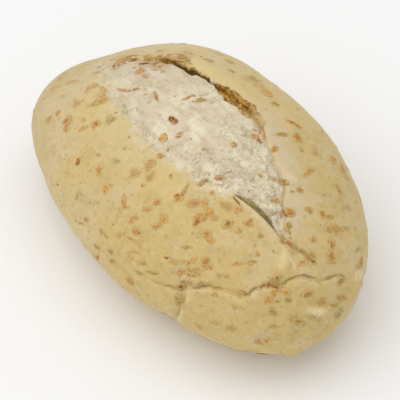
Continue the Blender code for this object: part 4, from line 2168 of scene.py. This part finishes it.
@dataclass
class BranCoat:
    """All the bran of the roll: flakes as seen, and flakes by rule where the photograph ends."""

    loaf: Loaf
    camera: PhotoCamera
    thickness: float = 0.25
    shred_thickness: float = 0.7
    crumb_lift: float = 0.06
    crumb_shrink: float = 0.12
    growth: float = 1.55
    split_length: float = 9.0
    hidden_flakes: int = 200
    hidden_stains: int = 110
    small_flakes: int = 110
    lengths: tuple[float, float] = (1.6, 4.0)
    small_lengths: tuple[float, float] = (0.5, 1.2)
    shares: tuple[float, ...] = (0.52, 0.1, 0.26, 0.12)
    widths: tuple[float, float] = (0.45, 0.85)
    thinning: float = 0.8
    end_reach: float = 0.97
    part_shifts: tuple[float, float] = (0.14, 0.24)
    part_asides: tuple[float, float] = (-0.2, 0.2)
    part_shares: tuple[float, float] = (0.6, 0.78)
    part_turns: tuple[float, float] = (-25, 25)
    stain_tones: tuple[float, float] = (0.65, 1.0)
    stain_spread: float = 1.3
    granules: int = 170
    granule_lengths: tuple[float, float] = (0.4, 1.1)
    granule_widths: tuple[float, float] = (0.6, 0.9)
    granule_heights: tuple[float, float] = (0.4, 0.7)
    least_grain: float = 0.45
    lip_reach: float = 3.0
    least_lip: float = 0.1

    def settled(self, chip: Chip, tone: float) -> Chip:
        """Gives a chip its tone, and raises it and makes it solid on rough crumb.

        Args:
            chip: The chip as drawn.
            tone: Its tone, 0 to 1.

        Returns:
            The settled chip.
        """
        ground, solid = self.loaf.shares_at(chip.centre)
        length, width, thickness = chip.size
        share = 1 - self.crumb_shrink * solid
        return replace(
            chip,
            centre=chip.centre + chip.facing * (self.crumb_lift * ground * MM),
            size=(length * share, width * share, thickness),
            tone=tone,
            ground=ground,
            solid=solid,
        )

    def parts(self, row: Sequence[float], rng: random.Random) -> Iterator[tuple[float, ...]]:
        """Parts a large flake's row into two that overlap, and leaves a small one's as it is.

        Args:
            row: The flake's row.
            rng: The source of the draws.

        Yields:
            The rows.
        """
        x, y, length, width, turn = row
        if length < self.split_length:
            yield row
            return
        tilt = math.radians(turn)
        for way in (-1, 1):
            along = way * length * rng.uniform(*self.part_shifts)
            aside = way * width * rng.uniform(*self.part_asides)
            part_x = x + along * math.cos(tilt) - aside * math.sin(tilt)
            part_y = y - along * math.sin(tilt) - aside * math.cos(tilt)
            share = rng.uniform(*self.part_shares)
            turned = turn + rng.uniform(*self.part_turns)
            yield part_x, part_y, length * share, width * share, turned

    def seen(
        self, rows: Rows, rng: random.Random, tones: tuple[float, float] = (0, 1)
    ) -> Iterator[Chip]:
        """Makes the chips of these rows that lie on the roll.

        Args:
            rows: Rows as in the tables of what shows.
            rng: The source of the draws.
            tones: Least and greatest tone.

        Yields:
            The chips.
        """
        for row in rows:
            for x, y, length, width, turn in self.parts(row, rng):
                grown = (x, y, length * self.growth, width * self.growth, turn)
                chip = self.camera.chip_at(self.loaf.tree, grown, self.thickness)
                if chip:
                    yield self.settled(chip, rng.uniform(*tones))

    def crumbs(self, rng: random.Random) -> Iterator[Chip]:
        """Draws granules over the rough parts of the crumb.

        Args:
            rng: The source of the draws.

        Yields:
            The granules.
        """
        masks = self.loaf.masks
        beside_lip = (masks["from_near"] < self.lip_reach) & (masks["lip"] > self.least_lip)
        rough = np.flatnonzero((self.loaf.torn["grain"] > self.least_grain) & ~beside_lip)
        vertices = self.loaf.mesh.vertices
        for _ in range(self.granules):
            vertex = vertices[int(rough[rng.randrange(len(rough))])]
            facing = vertex.normal.normalized()
            along = square_to(facing, rng.uniform(0, math.pi))
            length = rng.uniform(*self.granule_lengths)
            width = length * rng.uniform(*self.granule_widths)
            size = (length, width, length * rng.uniform(*self.granule_heights))
            yield Chip(vertex.co.copy(), facing, along, size, rng.random(), ground=1.0)

    def scattered(
        self, count: int, lengths: tuple[float, float], hidden: bool, rng: random.Random
    ) -> Iterator[Chip]:
        """Chips drawn evenly over the skin.

        Args:
            count: How many.
            lengths: Least and greatest length.
            hidden: Whether they lie only where the photograph doesn't show the roll.
            rng: The source of the draws.

        Yields:
            The chips.
        """
        made = 0
        while made < count:
            place = self.loaf.form.half_length * rng.uniform(-self.end_reach, self.end_reach)
            point, facing = self.loaf.hit(place, rng.uniform(-90, 270))
            turn, share = rng.uniform(0, math.pi), rng.random()
            if point is None or self.camera.sees(self.loaf.tree, point, facing) == hidden:
                continue
            length = lengths[0] + (lengths[1] - lengths[0]) * share**2
            size = (length, length * rng.uniform(*self.widths), self.thickness * self.thinning)
            chip = Chip(point, facing, square_to(facing, turn), size)
            yield self.settled(chip, rng.random())
            made += 1

    def build(self, mesh: bpy.types.Mesh) -> None:
        """Makes the flakes, one object of each kind, and stains the skin round them.

        Args:
            mesh: The roll's mesh, whose masks take the stains.
        """
        rng = random.Random(SEED)
        flakes = {kind: list(self.seen(rows, rng)) for kind, rows in SEEN_FLAKES.items()}
        kinds = list(Bran)
        for count, lengths, hidden in (
            (self.hidden_flakes, self.lengths, True),
            (self.small_flakes, self.small_lengths, False),
        ):
            for chip in self.scattered(count, lengths, hidden, rng):
                flakes[rng.choices(kinds, self.shares)[0]].append(chip)
        stains = {
            kind: list(self.seen(rows, rng, self.stain_tones))
            for kind, rows in SEEN_STAINS.items()
        }
        for chip in self.scattered(self.hidden_stains, self.lengths, True, rng):
            stains[rng.choice([Stain.TAN, Stain.OLIVE])].append(chip)
        for kind, chips in stains.items():
            self.loaf.stain(mesh, kind.value, chips, self.stain_spread)
        for chips in flakes.values():
            self.loaf.stain(mesh, Stain.TAN.value, chips, self.stain_spread)
        for kind, chips in flakes.items():
            ChipSet(kind.value, BRAN_FINISHES[kind], Slot.BRAN).build(chips)
        granules = ChipSet(
            "crumb_granules", GRANULE_FINISH, Slot.CRUMB, relief=0.3, relief_size=0.5, flatness=0.0
        )
        granules.build(list(self.crumbs(rng)))
        shreds = ChipSet("crumb_shreds", SHRED_FINISH, Slot.CRUMB)
        torn = self.seen(SEEN_SHREDS, rng)
        thick = [replace(chip, size=(*chip.size[:2], self.shred_thickness)) for chip in torn]
        shreds.build(thick)


# --- Studio -------------------------------------------------------------------------------------


@dataclass(frozen=True)
class Lamp:
    """A square soft light: direction from the roll, distance, side and power."""

    name: str
    direction: tuple[float, float, float]
    distance: float
    side: float
    power: float

    def build(self) -> None:
        """Makes the light, aimed at the roll."""
        data = bpy.data.lights.new(self.name, "AREA")
        data.size = self.side
        data.energy = self.power
        lamp = add_object(self.name, data)
        away = Vector(self.direction).normalized()
        lamp.location = away * self.distance
        lamp.rotation_mode = "QUATERNION"
        lamp.rotation_quaternion = away.to_track_quat("Z", "Y")


@dataclass
class Studio:
    """Pale floor, an even sky and soft lights from the upper left of the photograph."""

    floor_side: float = 8.0
    sky: Colour = (1.0, 1.0, 1.0, 1.0)
    sky_strength: float = 0.6
    lamps: tuple[Lamp, ...] = (
        Lamp("key_light", (-0.28, -0.66, 1.25), distance=1.6, side=1.8, power=11.1),
        Lamp("top_light", (0.1, 0.3, 1.5), distance=1.8, side=1.2, power=4.3),
    )

    def build(self) -> None:
        """Makes the floor, the sky and the lights."""
        bm = bmesh.new()
        bmesh.ops.create_grid(bm, x_segments=1, y_segments=1, size=self.floor_side / 2)
        floor = new_object("pale_floor", bm, FloorFinish().make())
        floor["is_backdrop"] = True
        world = bpy.data.worlds.new("soft_studio")
        world.use_nodes = True
        nodes = NodeTree(world.node_tree)
        sockets = {"Color": self.sky, "Strength": self.sky_strength}
        sky = nodes.node("ShaderNodeBackground", None, sockets)
        nodes.node("ShaderNodeOutputWorld", None, {"Surface": sky.outputs[0]})
        bpy.context.scene.world = world
        bpy.context.scene.view_settings.view_transform = "Standard"
        for lamp in self.lamps:
            lamp.build()


def main() -> None:
    """Builds the camera, the roll, its bran and the studio."""
    logging.basicConfig(level=logging.INFO, format="%(name)s: %(message)s")
    low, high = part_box(NODE)
    log.info("solid: %s", [round((b - a) / MM, 1) for a, b in zip(low, high)])
    camera = PhotoCamera()
    camera.build()
    loaf = Loaf(RollForm(length=110.0, width=71.0, height=48.5), CrustFinish())
    crust = loaf.build()
    BranCoat(loaf, camera).build(crust.data)
    loaf.write_masks(crust.data)
    dress(crust, Slot.CRUST)
    Studio().build()
    boxes = {"cad": CAD_BOX, "visual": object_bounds()}
    {name: [list(corner) for corner in box] for name, box in boxes.items()}


if __name__ == "__main__":
    main()
